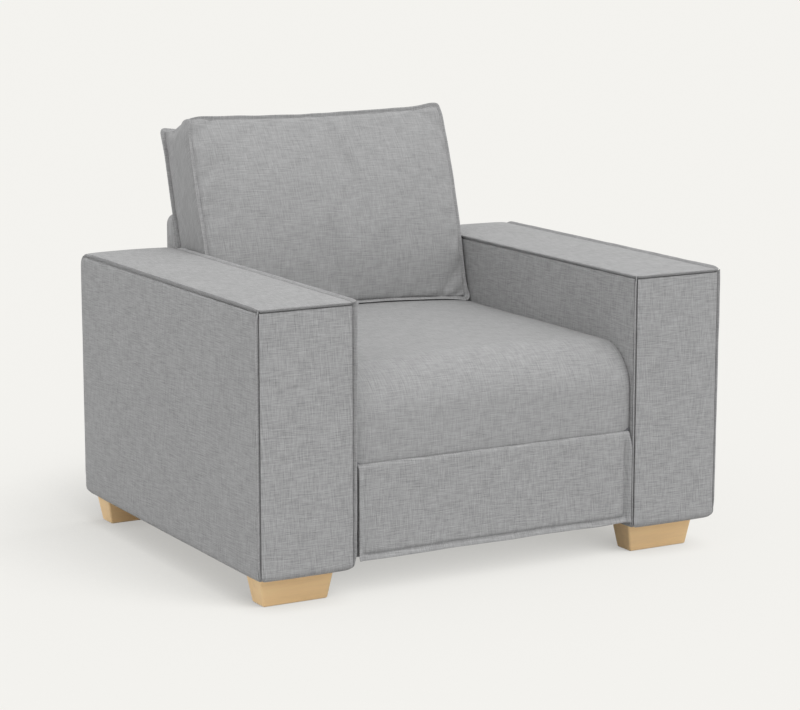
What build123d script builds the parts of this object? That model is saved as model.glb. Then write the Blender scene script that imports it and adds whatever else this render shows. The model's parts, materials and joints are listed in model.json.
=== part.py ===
from build123d import *
import math
import os

os.makedirs("parts", exist_ok=True)

# An upholstered armchair, in millimetres: front towards -Y, floor at Z = 0, origin below the middle.

# Overall sizes
overall_width = 980.0  # over the outer faces of the arms
arm_width = 187.0
arm_depth = 800.0
arm_top = 546.0  # floor to the top of an arm
foot_height = 60.0
seat_side_height = 418.0  # floor to the seat beside an arm
seam_height = 250.0  # floor to the seam that the skirt hangs from
skirt_hem_height = 74.0
back_rise = 196.0  # seat beside an arm to the top of the back
lean_degrees = 17.0  # the back cushion and the face behind it lean this far back

# Cloth and its seams
cover_thickness = 1.5
flange_reach = 8.0  # how far the two joined cloths stand out from a seam
flange_thickness = 2.5
hem_width = 5.0  # cloth turned under an arm
soft_gap = 0.3  # between soft pieces that only lie against each other

# Arms
arm_side_padding = 10.0
arm_top_padding = 18.0
arm_rear_padding = 5.0
arm_edge_radius = 10.0  # lower edges of the cover
arm_inner_panel_thickness = 15.0
arm_outer_panel_thickness = 6.0
arm_end_board_thickness = 18.0
arm_top_board_thickness = 12.0
arm_bottom_board_thickness = 18.0
front_flange_lift = 15.0  # the front seam's flange starts this far above the cover's lower edge

# Feet
foot_length = 130.0  # across the chair, at the floor
foot_width = 46.0  # front to back, at the floor
foot_flare_length = 22.0  # how much longer the foot is at its top
foot_flare_width = 16.0
foot_edge_radius = 4.0
foot_chamfer = 1.5
front_foot_setback = 70.0  # front of the arm to the middle of the foot
rear_foot_setback = 38.0
stud_depth = 32.0  # how far the stud is screwed into the foot

# Bolts, washers and T-nuts
bolt_diameter = 8.0
bolt_head_width = 13.0
bolt_head_height = 5.3
hole_clearance = 0.5
thread_clearance = 0.1
washer_diameter = 24.0
washer_thickness = 2.0
tnut_barrel_diameter = 10.0
tnut_barrel_length = 10.0
tnut_flange_diameter = 19.0
tnut_flange_thickness = 1.5
arm_bolt_inset = 160.0  # from each end of a side rail
back_bolt_inset = 67.0  # from an upright of the back to the nearest bolt
back_bolt_count = 3

# Seat base
rail_thickness = 22.0
rail_bottom = 80.0
rail_below_seam = 5.0  # from the skirt's seam down to the top of the rails
front_rail_setback = 12.0
corner_block_leg = 60.0
corner_block_height = 90.0
dust_cloth_thickness = 1.0

# Springs and the felt over them
spring_count = 5
spring_inset = 61.0  # from a side rail to the middle of the nearest spring
spring_wire = 3.8
spring_width = 64.0
spring_pitch = 24.0  # wished for; the bars are then spread evenly
clip_wall = 1.2
clip_width = 12.0
clip_tail = 9.0
felt_thickness = 5.0

# Seat
seat_setback = 5.0  # behind the front of the arms
seat_side_gap = 4.0
seat_crown = 12.0
seat_edge_drop = 10.0  # how far the seat rounds down at its sides
seat_edge_power = 16  # how close to the side that rounding is
seat_front_radius = 88.0

# Skirt
skirt_side_gap = 12.5  # to the arms
skirt_border = 10.0
skirt_border_thickness = 2.0
skirt_thickness = 4.4

# Back
back_side_gap = 6.5
back_rear_overhang = 14.0  # behind the rear of the arms
back_top_thickness = 22.8  # front to rear, at its top
back_rear_radius = 16.0
back_front_radius = 5.0
back_padding_thickness = 8.0
upright_width = 28.0
back_rail_height = 60.0
strap_thickness = 1.5
strap_width = 40.0
strap_count = 3
strap_spacing = 52.0

# Back cushion
cushion_height = 407.0  # along its lean, between its seams
cushion_thickness = 126.0
cushion_side_gap = 17.0  # from an arm to its seam, at its bottom
cushion_taper = 7.0  # how much it narrows on each side towards its top
cushion_flange_reach = 7.0
cushion_seat_gap = 2.5
cushion_crown = 20.0
cushion_crown_power = 5
cushion_side_sag = 6.0
cushion_top_sag = 7.0
cushion_drawn_in = 5.0  # the boxing between the seams
cushion_mid_lift = 16.0  # the cushion's underside rises this far above the seat's side, halfway back
cushion_rear_lift = 54.0
crown_scales = (1.0, 0.95, 0.85, 0.7, 0.5, 0.3)

# Zip under the back of the cushion
zip_inset = 66.0  # from the cushion's lower corner to the end of the zip
zip_tape_end = 12.0
zip_tape_width = 24.0
zip_tape_thickness = 1.0
zip_teeth_width = 5.0
zip_teeth_height = 1.2
zip_slot_width = 4.0
zip_place = 0.55  # share of the way up the facet that carries it
zip_gap = 0.2
slider_length = 14.0
slider_width = 10.0
slider_height = 4.5
pull_length = 30.0
pull_width = 7.0
pull_thickness = 1.6

# Places worked out from the sizes
lean = math.radians(lean_degrees)
lean_sin = math.sin(lean)
lean_cos = math.cos(lean)
lean_tan = math.tan(lean)
half_width = overall_width / 2
half_gap = half_width - arm_width
back_top = seat_side_height + back_rise
back_half = half_gap - back_side_gap
back_inside_half = back_half - cover_thickness
upright_inner_x = back_inside_half - upright_width
side_rail_face = half_gap - rail_thickness
cushion_bottom_width = 2 * (half_gap - cushion_side_gap)
cushion_top_width = cushion_bottom_width - 2 * cushion_taper
cushion_z = seat_side_height + cushion_seat_gap
cushion_lean_reach = (back_top - cushion_z) * lean_tan + (cushion_thickness + soft_gap) / lean_cos
cushion_setback = arm_depth + back_rear_overhang - back_top_thickness - cushion_lean_reach
cushion_rear_reach = lean_sin * (cushion_height + cushion_flange_reach) + lean_cos * cushion_thickness
overall_depth = flange_reach + cushion_setback + cushion_rear_reach
front_y = flange_reach - overall_depth / 2
arm_rear_y = front_y + arm_depth
rail_top = seam_height - rail_below_seam
rail_middle = (rail_bottom + rail_top) / 2
cushion_y = front_y + cushion_setback
back_rear_y = arm_rear_y + back_rear_overhang
seat_half = half_gap - seat_side_gap
bolt_radius = bolt_diameter / 2
bolt_hole_radius = bolt_radius + hole_clearance
tnut_bore_radius = bolt_radius + thread_clearance
tnut_hole_radius = tnut_barrel_diameter / 2 + thread_clearance
sides = {"left": -1, "right": 1}


def save(piece, node):
    """Label a finished piece and write its file."""
    piece.label = node
    export_step(piece, f"parts/{node}.step")


def block(low, high, mode=Mode.ADD):
    """A block between two corners, joined to the part in hand or cut from it."""
    with Locations(tuple((a + b) / 2 for a, b in zip(low, high))):
        Box(*[abs(b - a) for a, b in zip(low, high)], mode=mode)


def rod(start, direction, radius, length, mode=Mode.ADD):
    """A round rod from a point, joined to the part in hand or cut from it."""
    with BuildSketch(Plane(origin=start, z_dir=direction)) as circle:
        Circle(radius)
    extrude(circle.sketch, amount=length, mode=mode)


def hexagon(start, direction, across_flats, length):
    """A hexagonal prism from a point, joined to the part in hand."""
    with BuildSketch(Plane(origin=start, z_dir=direction)) as outline:
        RegularPolygon(across_flats / 2, 6, major_radius=False)
    extrude(outline.sketch, amount=length)


def tube(start, direction, outer_radius, inner_radius, length):
    """A round ring or sleeve from a point, joined to the part in hand."""
    with BuildSketch(Plane(origin=start, z_dir=direction)) as ring:
        Circle(outer_radius)
        Circle(inner_radius, mode=Mode.SUBTRACT)
    extrude(ring.sketch, amount=length)


def tnut(seat, direction):
    """A T-nut whose flange lies on a board at the seat; the direction points into the board."""
    outward = tuple(-d for d in direction)
    tube(seat, outward, tnut_flange_diameter / 2, tnut_bore_radius, tnut_flange_thickness)
    tube(seat, direction, tnut_barrel_diameter / 2, tnut_bore_radius, tnut_barrel_length)


def washer(seat, direction):
    """A washer lying on a face at the seat; the direction points away from the face."""
    tube(seat, direction, washer_diameter / 2, bolt_hole_radius, washer_thickness)


def bolt(head_seat, direction, length):
    """A bolt whose head sits at the seat; the direction points along its shank."""
    outward = tuple(-d for d in direction)
    hexagon(head_seat, outward, bolt_head_width, bolt_head_height)
    rod(head_seat, direction, bolt_radius, length)


# Places of the fixings
foot_places = {
    "front_left": (-1, front_y + front_foot_setback),
    "front_right": (1, front_y + front_foot_setback),
    "rear_left": (-1, arm_rear_y - rear_foot_setback),
    "rear_right": (1, arm_rear_y - rear_foot_setback),
}
arm_middle = half_width - arm_width / 2
front_rail_y = front_y + front_rail_setback
side_rail_front_y = front_rail_y + rail_thickness


def back_face(z, behind=0.0):
    """Y of the leaning face of the back at a height, or of a face that far behind it."""
    reach = cushion_thickness + soft_gap + behind
    return cushion_y + (z - cushion_z) * lean_tan + reach / lean_cos


back_foot_y = back_face(seat_side_height)
rear_rail_y = back_foot_y - rail_thickness
arm_bolt_ys = (side_rail_front_y + arm_bolt_inset, rear_rail_y - arm_bolt_inset)
back_bolt_spacing = 2 * (upright_inner_x - back_bolt_inset) / (back_bolt_count - 1)
back_bolt_xs = [back_bolt_spacing * (i - (back_bolt_count - 1) / 2) for i in range(back_bolt_count)]


def arm_profile(y, sign, inset, bottom):
    """The front outline of an arm at a depth, drawn in by an inset, with rounded lower corners."""
    with BuildSketch(Plane.XZ.offset(-y)) as outline:
        with Locations((sign * arm_middle, (bottom + arm_top - inset) / 2)):
            Rectangle(arm_width - 2 * inset, arm_top - inset - bottom)
        fillet(outline.vertices().group_by(Axis.Y)[0], arm_edge_radius - inset)
    return outline.sketch


# Arms: a box of boards in foam, under a cloth cover with flanged seams
arm_frame_front = front_y + cover_thickness + arm_side_padding
arm_frame_rear = arm_rear_y - cover_thickness - arm_rear_padding
arm_frame_top = arm_top - cover_thickness - arm_top_padding
arm_frame_inset = cover_thickness + arm_side_padding
arm_panel_bottom = foot_height + arm_bottom_board_thickness
arm_panel_top = arm_frame_top - arm_top_board_thickness
inner_panel_face = half_gap + arm_frame_inset
inner_panel_back = inner_panel_face + arm_inner_panel_thickness
outer_panel_face = half_width - arm_frame_inset
outer_panel_back = outer_panel_face - arm_outer_panel_thickness
inner_flange_end = back_face(arm_top) - back_side_gap

for side, sign in sides.items():
    with BuildPart() as arm_bottom_board:
        block(
            (sign * inner_panel_face, arm_frame_front, foot_height),
            (sign * outer_panel_face, arm_frame_rear, arm_panel_bottom),
        )
        for foot_sign, foot_y in foot_places.values():
            if foot_sign == sign:
                rod(
                    (sign * arm_middle, foot_y, foot_height),
                    (0, 0, 1),
                    tnut_hole_radius,
                    arm_bottom_board_thickness,
                    Mode.SUBTRACT,
                )
    save(arm_bottom_board.part, f"{side}_arm_bottom_board")

    with BuildPart() as arm_top_board:
        block(
            (sign * inner_panel_face, arm_frame_front, arm_panel_top),
            (sign * outer_panel_face, arm_frame_rear, arm_frame_top),
        )
    save(arm_top_board.part, f"{side}_arm_top_board")

    with BuildPart() as arm_inner_panel:
        block(
            (sign * inner_panel_face, arm_frame_front, arm_panel_bottom),
            (sign * inner_panel_back, arm_frame_rear, arm_panel_top),
        )
        for bolt_y in arm_bolt_ys:
            rod(
                (sign * inner_panel_face, bolt_y, rail_middle),
                (sign, 0, 0),
                tnut_hole_radius,
                arm_inner_panel_thickness,
                Mode.SUBTRACT,
            )
    save(arm_inner_panel.part, f"{side}_arm_inner_panel")

    with BuildPart() as arm_outer_panel:
        block(
            (sign * outer_panel_back, arm_frame_front, arm_panel_bottom),
            (sign * outer_panel_face, arm_frame_rear, arm_panel_top),
        )
    save(arm_outer_panel.part, f"{side}_arm_outer_panel")

    with BuildPart() as arm_front_board:
        block(
            (sign * inner_panel_back, arm_frame_front, arm_panel_bottom),
            (sign * outer_panel_back, arm_frame_front + arm_end_board_thickness, arm_panel_top),
        )
    save(arm_front_board.part, f"{side}_arm_front_board")

    with BuildPart() as arm_rear_board:
        block(
            (sign * inner_panel_back, arm_frame_rear - arm_end_board_thickness, arm_panel_bottom),
            (sign * outer_panel_back, arm_frame_rear, arm_panel_top),
        )
    save(arm_rear_board.part, f"{side}_arm_rear_board")

    with BuildPart() as arm_padding:
        padding_front = front_y + cover_thickness
        padding_depth = arm_depth - 2 * cover_thickness
        extrude(arm_profile(padding_front, sign, cover_thickness, foot_height), amount=-padding_depth)
        block(
            (sign * inner_panel_face, arm_frame_front, foot_height),
            (sign * outer_panel_face, arm_frame_rear, arm_frame_top),
            Mode.SUBTRACT,
        )
        for bolt_y in arm_bolt_ys:
            rod(
                (sign * half_gap, bolt_y, rail_middle),
                (sign, 0, 0),
                bolt_hole_radius,
                arm_frame_inset,
                Mode.SUBTRACT,
            )
    save(arm_padding.part, f"{side}_arm_padding")

    with BuildPart() as arm_cover:
        cover_bottom = foot_height - cover_thickness
        extrude(arm_profile(front_y, sign, 0.0, cover_bottom), amount=-arm_depth)
        # Flange of the top seam: along the outside, across the front and along the inside
        flange_low = arm_top - flange_thickness
        block(
            (sign * half_width, front_y - flange_reach, flange_low),
            (sign * (half_width + flange_reach), arm_rear_y, arm_top),
        )
        block(
            (sign * half_gap, front_y - flange_reach, flange_low),
            (sign * half_width, front_y, arm_top),
        )
        block(
            (sign * (half_gap - flange_reach), front_y - flange_reach, flange_low),
            (sign * half_gap, inner_flange_end, arm_top),
        )
        # Flange of the front seam, standing out on both sides in the plane of the front
        block(
            (sign * (half_gap - flange_reach), front_y, cover_bottom + front_flange_lift),
            (sign * (half_width + flange_reach), front_y + flange_thickness, arm_top),
        )
        inside_front = front_y + cover_thickness
        inside_depth = arm_depth - 2 * cover_thickness
        extrude(
            arm_profile(inside_front, sign, cover_thickness, foot_height),
            amount=-inside_depth,
            mode=Mode.SUBTRACT,
        )
        hem_inset = cover_thickness + hem_width
        block(
            (sign * (half_gap + hem_inset), front_y + hem_inset, cover_bottom),
            (sign * (half_width - hem_inset), arm_rear_y - hem_inset, foot_height),
            Mode.SUBTRACT,
        )
        for bolt_y in arm_bolt_ys:
            rod(
                (sign * half_gap, bolt_y, rail_middle),
                (sign, 0, 0),
                bolt_hole_radius,
                cover_thickness,
                Mode.SUBTRACT,
            )
    save(arm_cover.part, f"{side}_arm_cover")

# Feet: tapered wooden blocks, each on a stud
for place, (sign, foot_y) in foot_places.items():
    with BuildPart() as foot:
        with BuildSketch(Plane((sign * arm_middle, foot_y, 0))):
            RectangleRounded(foot_length, foot_width, foot_edge_radius)
        with BuildSketch(Plane((sign * arm_middle, foot_y, foot_height))):
            RectangleRounded(
                foot_length + foot_flare_length, foot_width + foot_flare_width, foot_edge_radius
            )
        loft(ruled=True)
        chamfer(foot.faces().sort_by(Axis.Z)[0].edges(), foot_chamfer)
        rod(
            (sign * arm_middle, foot_y, foot_height - stud_depth),
            (0, 0, 1),
            bolt_radius + thread_clearance,
            stud_depth,
            Mode.SUBTRACT,
        )
    save(foot.part, f"{place}_foot")

with BuildPart() as foot_studs:
    for sign, foot_y in foot_places.values():
        stud_start = (sign * arm_middle, foot_y, foot_height - stud_depth)
        rod(stud_start, (0, 0, 1), bolt_radius, stud_depth + arm_bottom_board_thickness)
save(foot_studs.part, "foot_studs")

with BuildPart() as foot_tnuts:
    for sign, foot_y in foot_places.values():
        tnut((sign * arm_middle, foot_y, arm_panel_bottom), (0, 0, -1))
save(foot_tnuts.part, "foot_tnuts")

# Seat base: four rails with corner blocks, bolted to the arms and to the back
with BuildPart() as seat_front_rail:
    block((-half_gap, front_rail_y, rail_bottom), (half_gap, side_rail_front_y, rail_top))
save(seat_front_rail.part, "seat_front_rail")

with BuildPart() as seat_rear_rail:
    block((-half_gap, rear_rail_y, rail_bottom), (half_gap, back_foot_y, rail_top))
    for bolt_x in back_bolt_xs:
        rod((bolt_x, rear_rail_y, rail_middle), (0, 1, 0), bolt_hole_radius, rail_thickness, Mode.SUBTRACT)
save(seat_rear_rail.part, "seat_rear_rail")

for side, sign in sides.items():
    with BuildPart() as seat_side_rail:
        block(
            (sign * side_rail_face, side_rail_front_y, rail_bottom),
            (sign * half_gap, rear_rail_y, rail_top),
        )
        for bolt_y in arm_bolt_ys:
            rod(
                (sign * side_rail_face, bolt_y, rail_middle),
                (sign, 0, 0),
                bolt_hole_radius,
                rail_thickness,
                Mode.SUBTRACT,
            )
    save(seat_side_rail.part, f"seat_{side}_rail")

with BuildPart() as seat_corner_blocks:
    block_bottom = rail_middle - corner_block_height / 2
    for sign in sides.values():
        for corner_y, inward in ((side_rail_front_y, 1), (rear_rail_y, -1)):
            with BuildSketch(Plane((0, 0, block_bottom))) as corner:
                with BuildLine():
                    Polyline(
                        (sign * side_rail_face, corner_y),
                        (sign * (side_rail_face - corner_block_leg), corner_y),
                        (sign * side_rail_face, corner_y + inward * corner_block_leg),
                        close=True,
                    )
                make_face()
            extrude(corner.sketch, amount=corner_block_height)
save(seat_corner_blocks.part, "seat_corner_blocks")

with BuildPart() as dust_cloth:
    block(
        (-half_gap, front_rail_y, rail_bottom - dust_cloth_thickness),
        (half_gap, back_rear_y - cover_thickness, rail_bottom),
    )
save(dust_cloth.part, "dust_cloth")

# Bolts between the seat and the arms
with BuildPart() as arm_washers:
    for sign in sides.values():
        for bolt_y in arm_bolt_ys:
            washer((sign * side_rail_face, bolt_y, rail_middle), (-sign, 0, 0))
save(arm_washers.part, "arm_washers")

with BuildPart() as arm_bolts:
    arm_bolt_seat = side_rail_face - washer_thickness
    for sign in sides.values():
        for bolt_y in arm_bolt_ys:
            bolt(
                (sign * arm_bolt_seat, bolt_y, rail_middle),
                (sign, 0, 0),
                inner_panel_back - arm_bolt_seat,
            )
save(arm_bolts.part, "arm_bolts")

with BuildPart() as arm_tnuts:
    for sign in sides.values():
        for bolt_y in arm_bolt_ys:
            tnut((sign * inner_panel_back, bolt_y, rail_middle), (-sign, 0, 0))
save(arm_tnuts.part, "arm_tnuts")

# Springs: zigzag wires from the front rail to the rear rail, each end held in a clip
clip_radius = spring_wire / 2 + thread_clearance + clip_wall
spring_z = rail_top + clip_radius
spring_front_y = front_rail_y + rail_thickness / 2
spring_rear_y = rear_rail_y + rail_thickness / 2
spring_bars = round((spring_rear_y - spring_front_y) / spring_pitch) + 1
bar_step = (spring_rear_y - spring_front_y) / (spring_bars - 1)
bar_half = (spring_width - bar_step) / 2
spring_spacing = 2 * (side_rail_face - spring_inset) / (spring_count - 1)
spring_xs = [spring_spacing * (i - (spring_count - 1) / 2) for i in range(spring_count)]

with BuildPart() as seat_springs:
    for spring_x in spring_xs:
        with BuildLine(Plane((spring_x, 0, spring_z))) as zigzag:
            for i in range(spring_bars):
                way = 1 if i % 2 == 0 else -1
                bar_y = spring_front_y + i * bar_step
                Line((-way * bar_half, bar_y), (way * bar_half, bar_y))
                if i < spring_bars - 1:
                    ThreePointArc(
                        (way * bar_half, bar_y),
                        (way * (bar_half + bar_step / 2), bar_y + bar_step / 2),
                        (way * bar_half, bar_y + bar_step),
                    )
        with BuildSketch(Plane((spring_x - bar_half, spring_front_y, spring_z), z_dir=(1, 0, 0))):
            Circle(spring_wire / 2)
        sweep(path=zigzag.line)
save(seat_springs.part, "seat_springs")

with BuildPart() as spring_clips:
    for spring_x in spring_xs:
        for clip_y in (spring_front_y, spring_rear_y):
            with BuildSketch(Plane.YZ.offset(spring_x)) as clip:
                with Locations((clip_y, spring_z)):
                    Circle(clip_radius)
                with Locations((clip_y, rail_top + clip_wall / 2)):
                    Rectangle(2 * clip_tail, clip_wall)
                with Locations((clip_y, spring_z)):
                    Circle(clip_radius - clip_wall, mode=Mode.SUBTRACT)
            extrude(clip.sketch, amount=clip_width / 2, both=True)
save(spring_clips.part, "spring_clips")


def seat_section(share, inset, bottom):
    """The side outline of the seat at a share of its half width, drawn in by an inset."""
    top = seat_side_height + seat_crown * (1 - share**2) - seat_edge_drop * share**seat_edge_power
    top = top - inset
    front = front_y + seat_setback + inset
    rear = back_foot_y - soft_gap - inset
    radius = seat_front_radius - inset
    with BuildSketch(Plane.YZ.offset(share * (seat_half - inset))) as section:
        with BuildLine():
            Line((front, bottom), (front, top - radius))
            RadiusArc((front, top - radius), (front + radius, top), radius)
            Line((front + radius, top), (rear, top))
            Line((rear, top), (rear, bottom))
            Line((rear, bottom), (front, bottom))
        make_face()
    return section.sketch


# Seat: a crowned foam block with a rounded front, under a cloth cover that is open below
seat_shares = (-1.0, -0.97, -0.9, -0.75, -0.4, 0.0, 0.4, 0.75, 0.9, 0.97, 1.0)
felt_bottom = rail_top + 2 * clip_radius
seat_foam_bottom = felt_bottom + felt_thickness
seat_foam_inset = cover_thickness + soft_gap

with BuildPart() as spring_felt:
    block(
        (-seat_half + seat_foam_inset, front_y + seat_setback + seat_foam_inset, felt_bottom),
        (seat_half - seat_foam_inset, back_foot_y - soft_gap - seat_foam_inset, seat_foam_bottom),
    )
save(spring_felt.part, "spring_felt")

with BuildPart() as seat_foam:
    loft([seat_section(share, seat_foam_inset, seat_foam_bottom) for share in seat_shares])
save(seat_foam.part, "seat_foam")

with BuildPart() as seat_cover:
    loft([seat_section(share, 0.0, rail_top) for share in seat_shares])
    loft(
        [seat_section(share, cover_thickness, rail_top - cover_thickness) for share in seat_shares],
        mode=Mode.SUBTRACT,
    )
save(seat_cover.part, "seat_cover")

# Skirt: a padded cloth panel that hangs from a round welt under the seat's front
skirt_half = half_gap - skirt_side_gap
welt_radius = skirt_thickness / 2
skirt_y = front_y + seat_setback - soft_gap - welt_radius

with BuildPart() as front_skirt:
    rod((-skirt_half, skirt_y, seam_height), (1, 0, 0), welt_radius, 2 * skirt_half)
    block(
        (-skirt_half, skirt_y - skirt_border_thickness / 2, skirt_hem_height),
        (skirt_half, skirt_y + skirt_border_thickness / 2, seam_height),
    )
    block(
        (-skirt_half + skirt_border, skirt_y - welt_radius, skirt_hem_height + skirt_border),
        (skirt_half - skirt_border, skirt_y + welt_radius, seam_height - welt_radius),
    )
save(front_skirt.part, "front_skirt")


# Back: tapered uprights and two rails, elastic straps, padding and a cloth cover
def back_outline(points, x=0.0):
    """A closed outline in the side view, at a place across the chair."""
    with BuildSketch(Plane.YZ.offset(x)) as outline:
        with BuildLine():
            Polyline(*points, close=True)
        make_face()
    return outline.sketch


def back_bend(inset):
    """Height at which the upright part of the back's face, drawn in by an inset, starts to lean."""
    return seat_side_height - inset * (1 / lean_cos - 1) / lean_tan


def back_section(inset, bottom):
    """The side outline of the back, drawn in by an inset, with rounded top edges."""
    top = back_top - inset
    with BuildSketch(Plane.YZ) as section:
        with BuildLine():
            Polyline(
                (back_foot_y + inset, bottom),
                (back_foot_y + inset, back_bend(inset)),
                (back_face(top, inset), top),
                (back_rear_y - inset, top),
                (back_rear_y - inset, bottom),
                close=True,
            )
        make_face()
        top_corners = section.vertices().group_by(Axis.Y)[-1].sort_by(Axis.X)
        fillet(top_corners[-1], back_rear_radius - inset)
        fillet(top_corners[0], back_front_radius - inset)
    return section.sketch


back_inside_front = back_foot_y + cover_thickness
back_inside_rear = back_rear_y - cover_thickness
back_frame_top = back_top - back_rear_radius
strap_face = cover_thickness + back_padding_thickness  # behind the leaning face
frame_face = strap_face + strap_thickness
frame_bend = seat_side_height + (cover_thickness - frame_face / lean_cos) / lean_tan
strap_bend = seat_side_height + (cover_thickness - strap_face / lean_cos) / lean_tan
top_rail_bottom = back_frame_top - back_rail_height

for side, sign in sides.items():
    with BuildPart() as back_upright:
        upright_outline = back_outline(
            [
                (back_inside_front, rail_bottom),
                (back_inside_front, frame_bend),
                (back_face(back_frame_top, frame_face), back_frame_top),
                (back_inside_rear, back_frame_top),
                (back_inside_rear, rail_bottom),
            ],
            sign * upright_inner_x,
        )
        extrude(upright_outline, amount=sign * upright_width)
    save(back_upright.part, f"back_{side}_upright")

with BuildPart() as back_top_rail:
    top_rail_outline = back_outline(
        [
            (back_face(top_rail_bottom, frame_face), top_rail_bottom),
            (back_face(back_frame_top, frame_face), back_frame_top),
            (back_inside_rear, back_frame_top),
            (back_inside_rear, top_rail_bottom),
        ]
    )
    extrude(top_rail_outline, amount=upright_inner_x, both=True)
save(back_top_rail.part, "back_top_rail")

back_rail_rear = back_inside_front + rail_thickness
with BuildPart() as back_bottom_rail:
    block(
        (-upright_inner_x, back_inside_front, rail_bottom),
        (upright_inner_x, back_rail_rear, rail_top),
    )
    for bolt_x in back_bolt_xs:
        rod(
            (bolt_x, back_inside_front, rail_middle),
            (0, 1, 0),
            tnut_hole_radius,
            rail_thickness,
            Mode.SUBTRACT,
        )
save(back_bottom_rail.part, "back_bottom_rail")

with BuildPart() as back_straps:
    strap_first = back_frame_top - back_rail_height / 2
    for i in range(strap_count):
        strap_z = strap_first - i * strap_spacing
        strap_y = back_face(strap_z, frame_face)
        with BuildSketch(
            Plane((0, strap_y, strap_z), x_dir=(1, 0, 0), z_dir=(0, -lean_cos, lean_sin))
        ) as strap:
            Rectangle(2 * back_inside_half, strap_width)
        extrude(strap.sketch, amount=strap_thickness)
save(back_straps.part, "back_straps")

with BuildPart() as back_padding:
    extrude(back_section(cover_thickness, rail_bottom), amount=back_inside_half, both=True)
    behind_padding = back_outline(
        [
            (back_inside_front, rail_bottom),
            (back_inside_front, strap_bend),
            (back_face(back_frame_top, strap_face), back_frame_top),
            (back_inside_rear, back_frame_top),
            (back_inside_rear, rail_bottom),
        ]
    )
    extrude(behind_padding, amount=back_inside_half, both=True, mode=Mode.SUBTRACT)
save(back_padding.part, "back_padding")

with BuildPart() as back_cover:
    extrude(back_section(0.0, rail_bottom), amount=back_half, both=True)
    extrude(
        back_section(cover_thickness, rail_bottom),
        amount=back_inside_half,
        both=True,
        mode=Mode.SUBTRACT,
    )
    for bolt_x in back_bolt_xs:
        rod(
            (bolt_x, back_foot_y, rail_middle),
            (0, 1, 0),
            bolt_hole_radius,
            cover_thickness,
            Mode.SUBTRACT,
        )
save(back_cover.part, "back_cover")

# Bolts between the seat and the back
with BuildPart() as back_washers:
    for bolt_x in back_bolt_xs:
        washer((bolt_x, rear_rail_y, rail_middle), (0, -1, 0))
save(back_washers.part, "back_washers")

with BuildPart() as back_bolts:
    back_bolt_seat = rear_rail_y - washer_thickness
    for bolt_x in back_bolt_xs:
        bolt((bolt_x, back_bolt_seat, rail_middle), (0, 1, 0), back_rail_rear - back_bolt_seat)
save(back_bolts.part, "back_bolts")

with BuildPart() as back_tnuts:
    for bolt_x in back_bolt_xs:
        tnut((bolt_x, back_rail_rear, rail_middle), (0, -1, 0))
save(back_tnuts.part, "back_tnuts")


# Back cushion: a boxed cushion with a crowned front and flanged seams, leaning on the back
def cushion_plane(depth):
    """A plane of the cushion, at a depth behind its front seam; it faces the sitter."""
    origin = (0, cushion_y + lean_cos * depth, cushion_z - lean_sin * depth)
    return Plane(origin, x_dir=(1, 0, 0), z_dir=(0, -lean_cos, lean_sin))


def cushion_low(depth, lift):
    """Where a height above the cushion's lower front edge lies on a plane of the cushion."""
    return (lift + lean_sin * depth) / lean_cos


def cushion_section(depth, low, rise, inset=0.0, scale=1.0, grow=0.0):
    """One outline of the cushion: corners stand out, sides and top are drawn in between them."""
    low_half = cushion_bottom_width / 2 - inset + grow
    high_half = cushion_top_width / 2 - inset + grow
    low = low + inset
    high = cushion_height - inset + grow
    centre = (low + high) / 2
    side_half = (low_half + high_half) / 2 - cushion_side_sag

    def at(x, v):
        return (scale * x, centre + scale * (v - centre))

    with BuildSketch(cushion_plane(depth)) as section:
        with BuildLine():
            if rise > 0:
                ThreePointArc(at(-low_half, low), at(0, low + rise), at(low_half, low))
            else:
                Line(at(-low_half, low), at(low_half, low))
            ThreePointArc(at(low_half, low), at(side_half, centre), at(high_half, high))
            ThreePointArc(at(high_half, high), at(0, high - cushion_top_sag), at(-high_half, high))
            ThreePointArc(at(-high_half, high), at(-side_half, centre), at(-low_half, low))
        make_face()
    return section.sketch


cushion_mid = cushion_thickness / 2
zip_length = cushion_bottom_width - 2 * zip_inset
cushion_mid_low = cushion_low(cushion_mid, cushion_mid_lift)
cushion_rear_low = cushion_low(cushion_thickness, cushion_rear_lift)


def add_cushion_body(inset, mode=Mode.ADD):
    """The stuffed form of the cushion, drawn in by an inset, joined to the part in hand or cut."""
    front_seam = cushion_section(inset, 0.0, seat_crown, inset)
    boxing = cushion_section(cushion_mid, cushion_mid_low, 0.0, inset + cushion_drawn_in)
    rear_seam = cushion_section(cushion_thickness - inset, cushion_rear_low, 0.0, inset)
    loft([front_seam, boxing, rear_seam], ruled=True, mode=mode)
    crown = [
        cushion_section(
            inset - cushion_crown * (1 - scale**cushion_crown_power), 0.0, seat_crown, inset, scale
        )
        for scale in crown_scales
    ]
    loft(crown, mode=mode)


zip_mid = cushion_plane(cushion_mid).from_local_coords((0, cushion_mid_low + cushion_drawn_in))
zip_rear = cushion_plane(cushion_thickness).from_local_coords((0, cushion_rear_low))
zip_way = (zip_rear - zip_mid).normalized()
zip_plane = Plane(
    zip_mid + (zip_rear - zip_mid) * zip_place,
    x_dir=(1, 0, 0),
    z_dir=Vector(1, 0, 0).cross(zip_way) * -1,
)

with BuildPart() as cushion_filling:
    add_cushion_body(cover_thickness + soft_gap)
save(cushion_filling.part, "cushion_filling")

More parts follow.
